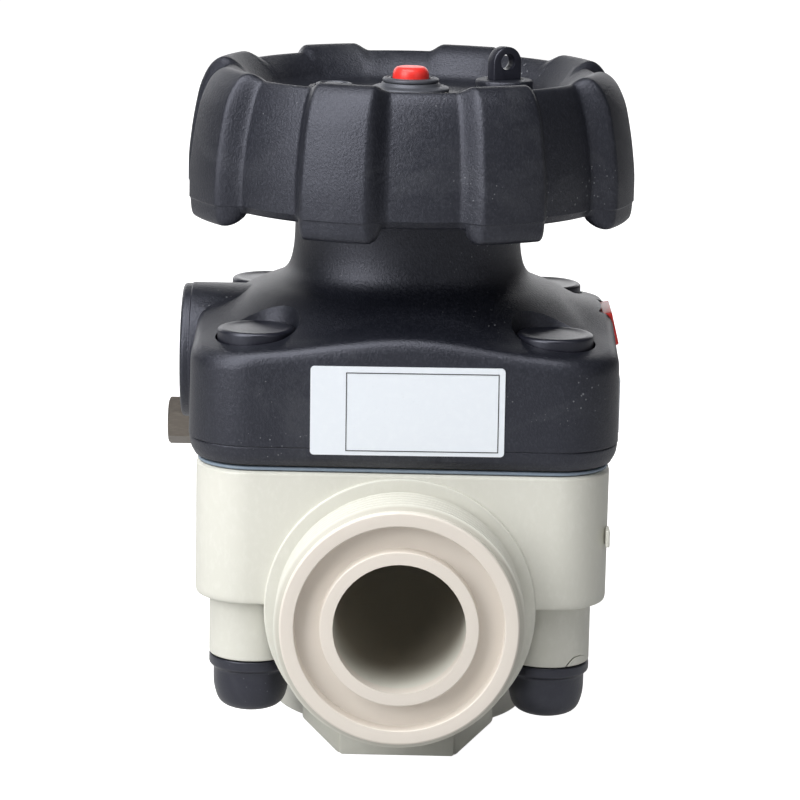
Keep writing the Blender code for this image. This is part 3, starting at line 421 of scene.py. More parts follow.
# %% Hub washer, clip and indicator
washer_low = HUB_TOP + 0.0003
clip_low = washer_low + 0.0022
washer_profile = [
    (0.0049, washer_low, 0.0001),
    (0.0096, washer_low, 0.0003),
    (0.0096, washer_low + 0.0008, 0.0004),
    (0.0086, washer_low + 0.0011, 0.0003),
    (0.0076, washer_low + 0.0012, 0.0003),
    (0.0070, washer_low + 0.0021, 0.0003),
    (0.0049, washer_low + 0.0021, 0.0001),
]
washer = stood("wheel_washer", spun(washer_profile, 96, closed=True))
carried(washer, "wheel", "hub_washer")
clip_profile = [
    (0.0049, clip_low, 0.0001),
    (0.0070, clip_low, 0.0002),
    (0.0070, clip_low + 0.0007, 0.0003),
    (0.0062, clip_low + 0.0010, 0.0002),
    (0.0058, clip_low + 0.0006, 0.0001),
    (0.0054, clip_low + 0.0010, 0.0001),
    (0.0049, clip_low + 0.0008, 0.0002),
]
clip = carried(stood("wheel_clip", spun(clip_profile, 96, closed=True)), "wheel", "hub_clip")
red_top = NECK_TOP + 0.0171
red_low = NECK_TOP + 0.0045
red_profile = [
    (0, red_top - 0.0033, 0),
    (0.0033, red_top - 0.0033, 0),
    (0.0033, red_low, 0.0002),
    (0.0045, red_low, 0.0003),
    (0.0045, red_top - 0.0014, 0.0012),
    (0.0036, red_top - 0.0001, 0.0008),
    (0, red_top, 0),
]
indicator = stood("red_indicator", spun(red_profile, 64))
carried(indicator, "spindle", "indicator_cap")

# %% [markdown]
# ## Bonnet
# The bonnet is the black cover over the mechanism. It starts as a rounded square with a lip, bends
# over a soft shoulder that hangs lower at its corners, and flares up into a round neck. A rounded
# square can be given by half its width and the radius of its corners. Where the two are equal it is
# a circle, so one function serves all the way up.

# %% Rounded squares
BOLT_OFFSET = 0.0361


def square_reach(half, corner, angle):
    """Distance from the middle to the edge of a rounded square, in one direction."""
    folded = angle % (math.pi / 2)
    folded = min(folded, math.pi / 2 - folded)
    if math.tan(folded) * half <= half - corner:
        return half / math.cos(folded)
    centre = half - corner
    along = centre * (math.cos(folded) + math.sin(folded))
    return along + math.sqrt(max(along * along - 2 * centre * centre + corner * corner, 0.0))


def square_directions(half, corner, arc_steps, edge_steps):
    """Directions that meet a rounded square evenly along its arcs and its straight sides."""
    angles = []
    centre = half - corner
    for quarter in range(4):
        turn = quarter * math.pi / 2
        for step in range(arc_steps + 1):
            at = step * math.pi / 2 / arc_steps
            x, y = centre + corner * math.cos(at), centre + corner * math.sin(at)
            angles.append(turn + math.atan2(y, x))
        for step in range(1, edge_steps):
            side = centre - 2 * centre * step / edge_steps
            angles.append(turn + math.pi / 2 + math.atan2(-side, half))
    return angles


def square_rings(rows, angles):
    rings = []
    for half, height, corner, hang in rows:
        ring = []
        for angle in angles:
            reach = square_reach(half, min(corner, half), angle)
            lower = hang * (1 - math.cos(4 * angle)) / 2
            ring.append((reach * math.cos(angle), reach * math.sin(angle), height - lower))
        rings.append(ring)
    return rings


print("a square of 100 mm with 20 mm corners reaches", round(square_reach(50, 20, math.pi / 4), 1), "mm")

# %% [markdown]
# Each row of the bonnet gives half the width, the height, the corner radius, how far the corners
# hang and the reach of the rounding. A step of 0.3 mm near the lower lip is the parting line of the
# mould.

# %% Skin of the bonnet
BLOCK_HALF = 0.0499
BLOCK_TOP = 0.0334
BONNET_HALF = BLOCK_HALF + 0.0019
BONNET_BOTTOM = BLOCK_TOP + 0.0018
SHOULDER = 0.0656
HANG = 0.0044
NECK_RADIUS = 0.028
foot = SHOULDER + 0.0055
corner = BONNET_HALF - BOLT_OFFSET
neck_steps = [
    (0.0080, 0.0, 0.003), (0.0042, 0.0014, 0.002), (0.0018, 0.0034, 0.002), (0.0006, 0.0064, 0.003)
]
bonnet_rows = soften([
    (BONNET_HALF - 0.0016, BONNET_BOTTOM, corner - 0.0016, 0, 0),
    (BONNET_HALF - 0.0005, BONNET_BOTTOM + 0.0017, corner, 0, 0.0009),
    (BONNET_HALF - 0.0001, BONNET_BOTTOM + 0.0043, corner, 0, 0.0010),
    (BONNET_HALF - 0.0003, BONNET_BOTTOM + 0.0045, corner, 0, 0.0001),
    (BONNET_HALF, BONNET_BOTTOM + 0.0048, corner, 0, 0.0001),
    (BONNET_HALF - 0.0003, SHOULDER - 0.0020, corner, HANG, 0.0024),
    (BONNET_HALF - 0.0016, SHOULDER + 0.0004, corner, HANG, 0.0013),
    (BONNET_HALF - 0.0042, SHOULDER + 0.0013, corner, HANG, 0.0016),
    (BONNET_HALF - 0.0100, SHOULDER + 0.0026, corner + 0.008, HANG, 0.0040),
    *[(NECK_RADIUS + wide, foot + up, NECK_RADIUS + wide, 0, reach) for wide, up, reach in neck_steps],
    (NECK_RADIUS, foot + 0.0110, NECK_RADIUS, 0, 0.0040),
    (NECK_RADIUS, NECK_TOP, NECK_RADIUS, 0, 0),
])
bonnet_angles = square_directions(BONNET_HALF, corner, 18, 26)
bonnet = stood("bonnet_moulding", skin(square_rings(bonnet_rows, bonnet_angles)), 40)
print(len(bonnet_rows), "rings of", len(bonnet_angles))

# %% [markdown]
# A round boss stands out on the left. The bonnet is hollow for the spindle, the compressor and its
# guide wings. Both are cut and joined with turned tools, because they were turned or round in the
# mould too.

# %% Boss and bore of the bonnet
CAVITY_TOP = 0.0608
NECK_STEP = NECK_TOP - 0.024
BOSS_PLACE = Matrix.Translation((0, 0, 0.0528)) @ LEFTWARDS
BOSS_RADIUS, BOSS_START, BOSS_END = 0.0167, 0.034, BONNET_HALF + 0.0038
CHAMBER_MOUTH, CAVITY_RADIUS, STEM_HOLE, RING_SEAT = 0.02808, 0.0238, 0.0096, 0.016
side_boss = [
    (0, BOSS_START, 0),
    (BOSS_RADIUS + 0.0003, BOSS_START, 0.0010),
    (BOSS_RADIUS + 0.0003, BONNET_HALF + 0.0014, 0.0002),
    (BOSS_RADIUS, BONNET_HALF + 0.0016, 0.0002),
    (BOSS_RADIUS, BOSS_END, 0.0012),
    (0, BOSS_END, 0),
]
worked(bonnet, spun(side_boss, 128, BOSS_PLACE), "UNION")
bore = [
    (0.0, BONNET_BOTTOM - 0.001),
    (CHAMBER_MOUTH, BONNET_BOTTOM - 0.001),
    (CHAMBER_MOUTH, BLOCK_TOP + 0.0035),
    (CAVITY_RADIUS, BLOCK_TOP + 0.0065),
    (CAVITY_RADIUS, CAVITY_TOP),
    (STEM_HOLE, CAVITY_TOP),
    (STEM_HOLE, NECK_STEP),
    (RING_SEAT, NECK_STEP),
    (RING_SEAT, NECK_TOP + 0.001),
    (0.0, NECK_TOP + 0.001),
]
worked(bonnet, turned(bore, 96))
GUIDE_LOW = (-0.026, -0.003, BONNET_BOTTOM - 0.001)
GUIDE_HIGH = (0.026, 0.003, CAVITY_TOP - 0.001)
worked(bonnet, box(GUIDE_LOW, GUIDE_HIGH))
BLOCK_CORNER = BLOCK_HALF - BOLT_OFFSET
seat = square_rings([
    (BLOCK_HALF - 0.0001, BONNET_BOTTOM - 0.001, BLOCK_CORNER, 0),
    (BLOCK_HALF - 0.0001, BLOCK_TOP + 0.0031, BLOCK_CORNER, 0),
], square_directions(BLOCK_HALF, BLOCK_CORNER, 12, 2))
worked(bonnet, skin(seat))
print("bonnet hollowed,", len(bonnet.data.polygons), "faces")

# %% [markdown]
# The pockets of the four screws are wider at their mouth than at their floor, so a dark gap shows
# between each cover cap and the slope behind it. Twelve notches in the neck's upper edge take the
# end of the lock slider, and a shallow recess on the right shoulder takes the marker.

# %% Pockets, screw holes, notches and the marker's recess
CAP_RADIUS = 0.0093
CAP_ACROSS, CAP_ALONG = 0.0359, 0.0348
POCKET_FLOOR = 0.0508
pocket = [
    (0, POCKET_FLOOR, 0),
    (CAP_RADIUS + 0.0004, POCKET_FLOOR, 0.0006),
    (CAP_RADIUS + 0.0005, SHOULDER - 0.0020, 0.002),
    (CAP_RADIUS + 0.0015, SHOULDER + 0.0030, 0.002),
    (CAP_RADIUS + 0.0024, SHOULDER + 0.0120, 0),
    (0, SHOULDER + 0.0120, 0),
]
CORNERS = {"front_left": (-1, -1), "front_right": (1, -1), "rear_left": (-1, 1), "rear_right": (1, 1)}
SCREW_HOLE = 0.0045
NOTCHES = 12
NOTCH_LOW = (0.0226, -0.0021, NECK_TOP - 0.0075)
NOTCH_HIGH = (0.03, 0.0021, NECK_TOP + 0.001)


def at_screw(sx, sy):
    return Matrix.Translation((sx * BOLT_OFFSET, sy * BOLT_OFFSET, 0))


def at_cap(sx, sy):
    return Matrix.Translation((sx * CAP_ACROSS, sy * CAP_ALONG, 0))


for sx, sy in CORNERS.values():
    worked(bonnet, rod(SCREW_HOLE, BONNET_BOTTOM - 0.001, POCKET_FLOOR + 0.001, 24, at_screw(sx, sy)))
    worked(bonnet, spun(pocket, 64, at_cap(sx, sy)))
for step in range(NOTCHES):
    spoke = Matrix.Rotation(math.tau * step / NOTCHES, 4, "Z")
    worked(bonnet, box(NOTCH_LOW, NOTCH_HIGH, 0, spoke))
MARKER_LEAN = Matrix.Rotation(math.radians(-14), 4, "Y")
MARKER_PLACE = Matrix.Translation((BONNET_HALF + 0.0002, 0, 0.0620)) @ MARKER_LEAN
worked(bonnet, box((-0.0030, -0.0088, -0.0045), (0.01, 0.0088, 0.0052), 0, MARKER_PLACE))
shade(bonnet, 38)
carried(bonnet, "valve", "bonnet")

# %% [markdown]
# A red marker is let into the bonnet's right shoulder. Cover caps close the screw pockets: flat
# discs with a shallow dish and a rounded rim, standing a little above the slope at their outer
# side.

# %% Red marker and upper cover caps
MARKER_LOW, MARKER_HIGH = (-0.0028, -0.0085, -0.0042), (0.0, 0.0085, 0.0042)
marker = stood("red_marker", box(MARKER_LOW, MARKER_HIGH, 0.0004, MARKER_PLACE))
carried(marker, "valve", "side_marker")
CAP_TOP = SHOULDER + 0.0001
GAP, WASHER, SCREW_HEAD = 0.0003, 0.0016, 0.0053
cap_skirt = POCKET_FLOOR + GAP + WASHER + GAP + SCREW_HEAD + GAP
cap_profile = [
    (0, CAP_TOP - 0.0026, 0),
    (CAP_RADIUS - 0.0015, CAP_TOP - 0.0026, 0),
    (CAP_RADIUS - 0.0015, cap_skirt, 0.0002),
    (CAP_RADIUS, cap_skirt, 0.0003),
    (CAP_RADIUS, CAP_TOP - 0.0004, 0.0006),
    (CAP_RADIUS - 0.0010, CAP_TOP, 0.0006),
    (CAP_RADIUS - 0.0032, CAP_TOP - 0.0005, 0.0016),
    (0, CAP_TOP - 0.0003, 0),
]
top_caps = []
for name, (sx, sy) in CORNERS.items():
    cap = stood("screw_cover_" + name, spun(cap_profile, 64, at_cap(sx, sy)))
    top_caps.append(carried(cap, "valve", "top_cap_" + name))

# %% [markdown]
# Domed caps cover the nuts below the columns. Each has a wider rim at its top, a waist, and a round
# bottom. Like the upper caps they are hollow, and one profile is turned four times.

# %% Lower nut caps
COLUMN_RADIUS = 0.0103
COLUMN_BOTTOM = -0.0147
rim_top = COLUMN_BOTTOM - 0.0003
dome_low = rim_top - 0.0137
waist = COLUMN_RADIUS - 0.0011
dome_profile = [
    (0, dome_low + 0.0016, 0),
    (waist - 0.0021, dome_low + 0.0016, 0.0008),
    (waist - 0.0009, dome_low + 0.0040, 0.0010),
    (waist - 0.0009, rim_top, 0.0001),
    (COLUMN_RADIUS, rim_top, 0.0003),
    (COLUMN_RADIUS, rim_top - 0.0023, 0.0005),
    (waist, rim_top - 0.0031, 0.0006),
    (waist, dome_low + 0.0056, 0.0030),
    (waist * 0.86, dome_low + 0.0016, 0.0018),
    (waist * 0.55, dome_low + 0.0002, 0.0016),
    (0, dome_low, 0),
]
bottom_caps = []
for name, (sx, sy) in CORNERS.items():
    cap = stood("nut_cover_" + name, spun(dome_profile, 64, at_screw(sx, sy)))
    bottom_caps.append(carried(cap, "valve", "bottom_cap_" + name))

# %% [markdown]
# ## Valve body
# The body is one thick moulding of pale grey plastic. It is joined from the shapes that a mould
# maker would draw: the flange block, the barrel with its two spigots, the boss and the foot below,
# and four columns. Then the flow passages, the chamber under the diaphragm and the screw holes are
# cut.

# %% Flange block and barrel
FACE = 0.067
BORE = 0.01575
SPIGOT = 0.0284
GROOVE_FLOOR = FACE - 0.0042
COLLAR_INNER, COLLAR_OUTER = 0.0470, 0.0509
block_rows = soften([
    (BLOCK_HALF - 0.0010, 0.0005, BLOCK_CORNER - 0.001, 0, 0),
    (BLOCK_HALF - 0.0002, 0.0007, BLOCK_CORNER, 0, 0.0004),
    (BLOCK_HALF, 0.0017, BLOCK_CORNER, 0, 0.0006),
    (BLOCK_HALF, BLOCK_TOP - 0.0006, BLOCK_CORNER, 0, 0.0003),
    (BLOCK_HALF - 0.0006, BLOCK_TOP, BLOCK_CORNER, 0, 0),
])
block_angles = square_directions(BLOCK_HALF, BLOCK_CORNER, 20, 8)
body = stood("body_moulding", skin(square_rings(block_rows, block_angles)), 30)
half_barrel = [
    (BORE, FACE, 0.0002),
    (0.0188, FACE, 0.0003),
    (0.0188, GROOVE_FLOOR, 0.0003),
    (0.0249, GROOVE_FLOOR, 0.0003),
    (0.0249, FACE, 0.0003),
    (SPIGOT - 0.0004, FACE, 0.0002),
    (SPIGOT, FACE - 0.0004, 0.0002),
    (SPIGOT, COLLAR_OUTER, 0.0003),
    (0.0326, COLLAR_OUTER, 0.0005),
    (0.0326, COLLAR_INNER, 0),
    (0.0302, COLLAR_INNER, 0),
]
rear_half = soften([(0.0, FACE, 0)] + half_barrel)
front_half = [(row[0], -row[1]) for row in rear_half]
barrel = front_half + list(reversed(rear_half))
worked(body, turned(barrel, 144, False, ALONG_Y), "UNION")
print("block and barrel joined,", len(body.data.polygons), "faces")

# %% [markdown]
# The foot narrows towards the floor like a keel and has a rib below. A box with sloping sides is
# easiest as an outline that is extruded along the pipe and then bevelled. A small raised pad sits
# on the block's right side. The front right column has a crack at its lower edge, and a slit as
# thin as a hair is enough to show it: the same kind of outline, cut out of the column.

# %% Boss, foot and columns
FOOT_BOTTOM = -0.042


def outline_along_pipe(points, reach, bevel):
    """Extrudes an outline of (x, z) points along the pipe, to both sides of the middle."""
    bm = bmesh.new()
    face = bm.faces.new([bm.verts.new((x, -reach, z)) for x, z in points])
    push(bm, [face], (0, 2 * reach, 0))
    bmesh.ops.recalc_face_normals(bm, faces=bm.faces)
    rounded(bm, list(bm.edges), bevel, 2)
    return bm


INTO_BLOCK = 0.0105
boss = [(0, -0.0356, 0), (0.032, -0.0356, 0.0012), (0.032, INTO_BLOCK, 0), (0, INTO_BLOCK, 0)]
worked(body, spun(boss, 128), "UNION")
keel = [
    (-0.0235, -0.0256),
    (-0.0235, -0.033),
    (-0.0145, FOOT_BOTTOM),
    (0.0145, FOOT_BOTTOM),
    (0.0235, -0.033),
    (0.0235, -0.0256),
]
worked(body, outline_along_pipe(keel, 0.0318, 0.0006), "UNION")
worked(body, box((-0.0142, -0.033, FOOT_BOTTOM), (0.0142, 0.033, -0.0236), 0.0007, None, 2), "UNION")
column = [
    (0, COLUMN_BOTTOM, 0),
    (COLUMN_RADIUS, COLUMN_BOTTOM, 0.0005),
    (COLUMN_RADIUS, INTO_BLOCK, 0),
    (0, INTO_BLOCK, 0),
]
for sx, sy in CORNERS.values():
    worked(body, spun(column, 72, at_screw(sx, sy)), "UNION")
worked(body, box((0.0492, -0.0440, 0.0150), (0.0502, -0.0385, 0.0192), 0.0003), "UNION")
crack = [
    (0.0398, -0.0153),
    (0.0407, -0.0140),
    (0.0415, -0.0131),
    (0.0423, -0.0124),
    (0.0438, -0.0122),
    (0.0452, -0.0129),
]
slit = bmesh.new()
lower = [(x + 0.00022, z - 0.00020) for x, z in reversed(crack)]
face = slit.faces.new([slit.verts.new((x, -0.0470, z)) for x, z in crack + lower])
push(slit, [face], (0, 0.0062, 0))
worked(body, slit)
print("body joined,", len(body.data.polygons), "faces")

# %% [markdown]
# The passage of each side runs level from its spigot and then bends up to the chamber, so that a
# weir stays between the two. Its rings are stations along that path, each a circle that leans with
# the path.

# %% Passages, chamber and holes of the body
LEVEL_END = FACE - 0.021
BEND_RADIUS = 0.03
BEND_STEPS = 12
for sign in (-1, 1):
    stations = [(FACE + BORE, 0.0, 0.0), (LEVEL_END, 0.0, 0.0)]
    for step in range(1, BEND_STEPS + 1):
        at = math.radians(72) * step / BEND_STEPS
        along = LEVEL_END - BEND_RADIUS * math.sin(at)
        stations.append((along, BEND_RADIUS - BEND_RADIUS * math.cos(at), at))
    rings = []
    for y, z, lean in stations:
        ring = []
        for step in range(48):
            turn = math.tau * step / 48
            up = BORE * math.sin(turn)
            along = sign * (y + up * math.sin(lean))
            ring.append((BORE * math.cos(turn), along, z + up * math.cos(lean)))
        rings.append(ring)
    worked(body, skin(rings))
chamber = bmesh.new()
stretch = Matrix.Translation((0, 0, BLOCK_TOP)) @ Matrix.Diagonal((0.027, 0.027, BLOCK_TOP - 0.012, 1.0))
bmesh.ops.create_uvsphere(chamber, u_segments=64, v_segments=32, radius=1.0, matrix=stretch)
worked(body, chamber)
for sx, sy in CORNERS.values():
    worked(body, rod(SCREW_HOLE, COLUMN_BOTTOM - 0.001, BLOCK_TOP + 0.001, 24, at_screw(sx, sy)))
for sign in (-1, 1):
    below = Matrix.Translation((0, sign * 0.021, 0))
    worked(body, rod(0.0053, FOOT_BOTTOM - 0.001, FOOT_BOTTOM + 0.0113, 32, below))
LEFT_PLUG = Matrix.Translation((0, 0.028, BLOCK_TOP - 0.005)) @ LEFTWARDS
worked(body, rod(0.0041, BLOCK_HALF - 0.009, BLOCK_HALF + 0.001, 24, LEFT_PLUG))
shade(body, 32)
carried(body, "valve", "valve_body")

# %% [markdown]
# The union thread is a pipe thread of eleven turns per inch. Its ridge is a small closed outline
# that is spun round the spigot while it moves along by one pitch in each turn. The ridge is then
# held under two cones, so that it fades out at the end face and in front of the collar.

# %% Threads of the spigots
PITCH = 0.0254 / 11
TURNS = 6.1
THREAD_START = 0.0522
ROOT, FLANK, CREST = 0.0282, 0.0293, 0.0298


def thread(sign):
    """The ridge on one spigot: -1 is the front one, 1 the rear one."""
    bm = bmesh.new()
    steps = round(TURNS * 72)
    half_tooth = [(ROOT, -0.00105), (FLANK, -0.00042), (CREST, -0.00016)]
    tooth = half_tooth + [(radius, -along) for radius, along in reversed(half_tooth)]
    verts = [bm.verts.new((radius, 0, THREAD_START + along)) for radius, along in tooth]
    geom = verts + [bm.edges.new(pair) for pair in zip(verts, verts[1:] + verts[:1])]
    advance = (0, 0, PITCH * TURNS / steps)
    end = bmesh.ops.spin(
        bm, geom=geom, cent=(0, 0, 0), axis=(0, 0, 1), dvec=advance, angle=math.tau * TURNS, steps=steps
    )["geom_last"]
    bmesh.ops.contextual_create(bm, geom=[v for v in end if isinstance(v, bmesh.types.BMVert)])
    bmesh.ops.contextual_create(bm, geom=verts)
    for vert in bm.verts:
        radius = math.hypot(vert.co.x, vert.co.y)
        along = vert.co.z
        held = min(radius, SPIGOT + (FACE - 0.0006 - along), 0.0283 + max(along - 0.0515, 0) * 1.4)
        along = min(along, FACE - 0.0003)
        held = max(held, 0.0281)
        vert.co = (vert.co.x * held / radius, vert.co.y * held / radius, along)
    turn = Matrix.Rotation(math.radians(90 if sign < 0 else -90), 4, "X")
    bmesh.ops.transform(bm, matrix=turn, verts=bm.verts)
    return bm


threads = []
for side, sign in (("front", -1), ("rear", 1)):
    threads.append(carried(stood("thread_" + side, thread(sign), 50), "valve"))

# %% [markdown]
# A threaded metal plug sits low on the left side: a thin round flange and a hexagon whose corners
# are turned off. The hexagon is a six-step spin, trimmed by a rounder shape with an intersection.

# %% Side plug
seat_x = BLOCK_HALF + 0.0003
flange_x = seat_x + 0.0014
head_x = flange_x + 0.0096
plug_shape = [
    (0, seat_x - 0.008, 0),
    (0.0038, seat_x - 0.008, 0.0004),
    (0.0038, seat_x, 0),
    (0.0068, seat_x, 0.0002),
    (0.0068, flange_x, 0.0003),
    (0, flange_x, 0),
]
hexagon_low = flange_x - 0.0006
prism = [(0, hexagon_low), (0.0062, hexagon_low), (0.0062, head_x), (0, head_x)]
hexagon = stood("side_plug_metal", turned(prism, 6, False, LEFT_PLUG))
trim = [
    (0, flange_x - 0.002, 0),
    (0.008, flange_x - 0.002, 0),
    (0.0074, head_x - 0.0014, 0.0008),
    (0.0052, head_x - 0.0001, 0.0006),
    (0, head_x, 0),
]
worked(hexagon, spun(trim, 64, LEFT_PLUG), "INTERSECT")
worked(hexagon, spun(plug_shape, 48, LEFT_PLUG), "UNION")
shade(hexagon, 30)
carried(hexagon, "valve", "side_plug")

# %% [markdown]
# ## Diaphragm
# Two thin layers are clamped between body and bonnet: a pale shield against the fluid and a rubber
# backing. Only their edges show from outside. Their middle hangs down to the weir and moves with
# the spindle.

# %% Layers of the diaphragm
DOME_LOW = 0.017
DOME_RADIUS = 0.027
CLAMP_RADIUS = 0.030
SEAT = BLOCK_TOP + 0.0003
dome_shape = [
    (0.98, 0.0), (0.955, 0.015), (0.93, 0.06), (0.87, 0.24), (0.81, 0.44),
    (0.7, 0.69), (0.6, 0.83), (0.45, 0.94), (0.3, 0.985), (0.12, 1.0),
]
layer_angles = square_directions(BLOCK_HALF, BLOCK_CORNER, 12, 12)
layers = []
for node, low, thickness in (("diaphragm_shield", 0.0, 0.0008), ("diaphragm_backing", 0.0011, 0.0014)):
    base = SEAT + low
    depth = SEAT - DOME_LOW
    half = BLOCK_HALF - 0.0004
    rounding = half - BOLT_OFFSET
    under = [(DOME_RADIUS * r, base - depth * d, DOME_RADIUS * r, 0) for r, d in dome_shape]
    over = [(r, z + thickness, c, 0) for r, z, c, _ in under]
    edge = soften([
        (CLAMP_RADIUS, base, rounding, 0, 0),
        (half, base, rounding, 0, 0.0003),
        (half, base + thickness, rounding, 0, 0.0003),
        (CLAMP_RADIUS, base + thickness, rounding, 0, 0),
    ], steps=3)
    edge = [(r, z, r if r <= CLAMP_RADIUS else c, h) for r, z, c, h in edge]
    rings = square_rings(list(reversed(under)) + edge + over, layer_angles)
    layer = stood(node + "_skin", skin(rings), 50)
    for sx, sy in CORNERS.values():
        worked(layer, rod(SCREW_HOLE, BLOCK_TOP, BLOCK_TOP + 0.004, 24, at_screw(sx, sy)))
    shade(layer, 50)
    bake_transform(layer)
    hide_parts(node)
    layers.append(layer)
    print(layer.name, len(layer.data.polygons), "faces, bends from valve to spindle")

# %% [markdown]
# ## Plates
# A plate is stuck on the front of the bonnet and another on its right side. They stay bare: a white
# film with rounded corners and, on the front one, a fine printed frame. The frame is a flat ring of
# its own, made by an inset, because a thin line in a material would blur.

# %% Front and side plates
slant = Matrix.Rotation(math.radians(-0.35), 4, "Y")
plate_tilt = Matrix.Translation((0.00085, -BONNET_HALF, 0.0492)) @ slant
PLATE_CORNER = 0.0009


def plate(low, high, round_axis, radius, place=None):
    """A thin plate whose corners are rounded round one axis."""
    bm = box(low, high)
    along = [e for e in bm.edges if abs((e.verts[0].co - e.verts[1].co)[round_axis]) > 1e-6]
    rounded(bm, along, radius, 6)
    if place:
        bmesh.ops.transform(bm, matrix=place, verts=bm.verts)
    return bm


LOW_CORNER, HIGH_CORNER = (-0.023, -0.00022, -0.01068), (0.023, 0.0006, 0.01068)
film = plate(LOW_CORNER, HIGH_CORNER, 1, PLATE_CORNER, plate_tilt)
front_plate = carried(stood("front_plate", film), "valve")
bm = bmesh.new()
frame_place = plate_tilt @ Matrix.Translation((0.0035, -0.00030, -0.0002)) @ FACE_ON
frame_size = Matrix.Diagonal((0.0362, 0.0190, 1, 1))
bmesh.ops.create_grid(bm, x_segments=1, y_segments=1, size=0.5, matrix=frame_size)
bmesh.ops.inset_individual(bm, faces=list(bm.faces), thickness=0.00030)
bmesh.ops.delete(bm, geom=[max(bm.faces, key=lambda f: f.calc_area())], context="FACES")
bmesh.ops.solidify(bm, geom=list(bm.faces), thickness=0.00006)
bmesh.ops.transform(bm, matrix=frame_place, verts=bm.verts)
plate_frame = carried(stood("front_plate_frame", bm), "valve")
LOW_CORNER, HIGH_CORNER = (BONNET_HALF - 0.001, -0.030, 0.0402), (BONNET_HALF + 0.0005, 0.008, 0.0537)
film = plate(LOW_CORNER, HIGH_CORNER, 0, PLATE_CORNER)
side_plate = carried(stood("right_plate", film), "valve")

# %% [markdown]
# ## Finishes
# Effects that several finishes share are node groups. They read the object's own coordinates, so
# each pattern is fixed in the plastic. Three small functions keep the node trees short: one makes a
# group, one adds a node with its values, and one draws a list of links.

# %% Make a node group
VECTOR, FLOAT = "NodeSocketVector", "NodeSocketFloat"


def new_group(name, inputs, outputs):
    group = bpy.data.node_groups.new(name, "ShaderNodeTree")
    for label, kind, value in inputs:
        socket = group.interface.new_socket(name=label, in_out="INPUT", socket_type=kind)
        if value is not None:
            socket.default_value = value
    for label in outputs:
        group.interface.new_socket(name=label, in_out="OUTPUT", socket_type=FLOAT)
    return group, group.nodes.new("NodeGroupInput"), group.nodes.new("NodeGroupOutput")


def add_node(tree, kind, values=None, **settings):
    node = tree.nodes.new("ShaderNode" + kind)
    for key, value in settings.items():
        setattr(node, key, value)
    for key, value in (values or {}).items():
        node.inputs[key].default_value = value
    return node


def wire(tree, *links):
    """Draws links, each given as a node, its output, the next node and its input."""
    for source, output, target, entry in links:
        tree.links.new(source.outputs[output], target.inputs[entry])


print("groups take", VECTOR, "and", FLOAT, "and give", FLOAT)

# %% [markdown]
# The black parts come from a blasted mould. Their grain is a fine noise, drawn out along the
# height, and a coarse noise says where it shows more.

# %% Grain of a moulded surface
grain_group, grain_in, grain_out = new_group(
    "moulded grain",
    [("Vector", VECTOR, None), ("Scale", FLOAT, 900.0), ("Drag", FLOAT, 0.3)],
    ["Height", "Patches"],
)
stretch = add_node(grain_group, "CombineXYZ", {"X": 1.0, "Y": 1.0})
drawn = add_node(grain_group, "VectorMath", operation="MULTIPLY")
fine = add_node(grain_group, "TexNoise", {"Detail": 4.0, "Roughness": 0.65})
coarse = add_node(grain_group, "TexNoise", {"Scale": 60.0, "Detail": 3.0, "Roughness": 0.5})
wire(
    grain_group,
    (grain_in, "Drag", stretch, "Z"),
    (grain_in, "Vector", drawn, 0),
    (stretch, 0, drawn, 1),
    (drawn, 0, fine, "Vector"),
    (grain_in, "Scale", fine, "Scale"),
    (grain_in, "Vector", coarse, "Vector"),
    (fine, "Fac", grain_out, "Height"),
    (coarse, "Fac", grain_out, "Patches"),
)
print(grain_group.name, "has", len(grain_group.nodes), "nodes")

# %% [markdown]
# Dust lies in pale specks that gather in patches: each cell of a pattern holds one dot, which grows
# where a broad noise is high. The scuffs of handling are only the peaks of a softer noise.

# %% Dust and scuffs
dust_group, dust_in, dust_out = new_group(
    "dust and scuffs",
    [("Vector", VECTOR, None), ("Specks", FLOAT, 0.5), ("Scuffs", FLOAT, 0.5)],
    ["Specks", "Scuffs"],
)
cells = add_node(dust_group, "TexVoronoi", {"Scale": 620.0, "Randomness": 1.0})
gather = add_node(dust_group, "TexNoise", {"Scale": 45.0, "Detail": 3.0})
dot = {"From Min": 0.48, "From Max": 0.75, "To Min": 0.0, "To Max": 0.26}
size = add_node(dust_group, "MapRange", dot)
inside = add_node(dust_group, "Math", operation="SUBTRACT")
sharpen = add_node(dust_group, "MapRange", {"From Min": 0.0, "From Max": 0.08})
strength = add_node(dust_group, "Math", operation="MULTIPLY")
cloudy = {"Scale": 24.0, "Detail": 5.0, "Roughness": 0.7, "Distortion": 0.6}
broad = add_node(dust_group, "TexNoise", cloudy)
rub = add_node(dust_group, "MapRange", {"From Min": 0.55, "From Max": 0.8})
rubbed = add_node(dust_group, "Math", operation="MULTIPLY")
wire(
    dust_group,
    (dust_in, "Vector", cells, "Vector"),
    (dust_in, "Vector", gather, "Vector"),
    (gather, "Fac", size, "Value"),
    (size, "Result", inside, 0),
    (cells, "Distance", inside, 1),
    (inside, 0, sharpen, "Value"),
    (sharpen, "Result", strength, 0),
    (dust_in, "Specks", strength, 1),
    (strength, 0, dust_out, "Specks"),
    (dust_in, "Vector", broad, "Vector"),
    (broad, "Fac", rub, "Value"),
    (rub, "Result", rubbed, 0),
    (dust_in, "Scuffs", rubbed, 1),
    (rubbed, 0, dust_out, "Scuffs"),
)
print(dust_group.name, "has", len(dust_group.nodes), "nodes")

# %% [markdown]
# Every plastic of the valve is the same recipe with other numbers: a colour that drifts a little,
# specks and scuffs that lighten it, a roughness that follows the grain, and a fine bump. The black
# plastics reflect a little more than the usual plastic, and with a cool tint. On the wheel and the
# bonnet the second colour is much paler, so the peaks of the grain show as pale specks: partly the
# grain's own tone, partly painted glints.

# %% Plastic finish
PALE_DUST = (0.35, 0.36, 0.38)


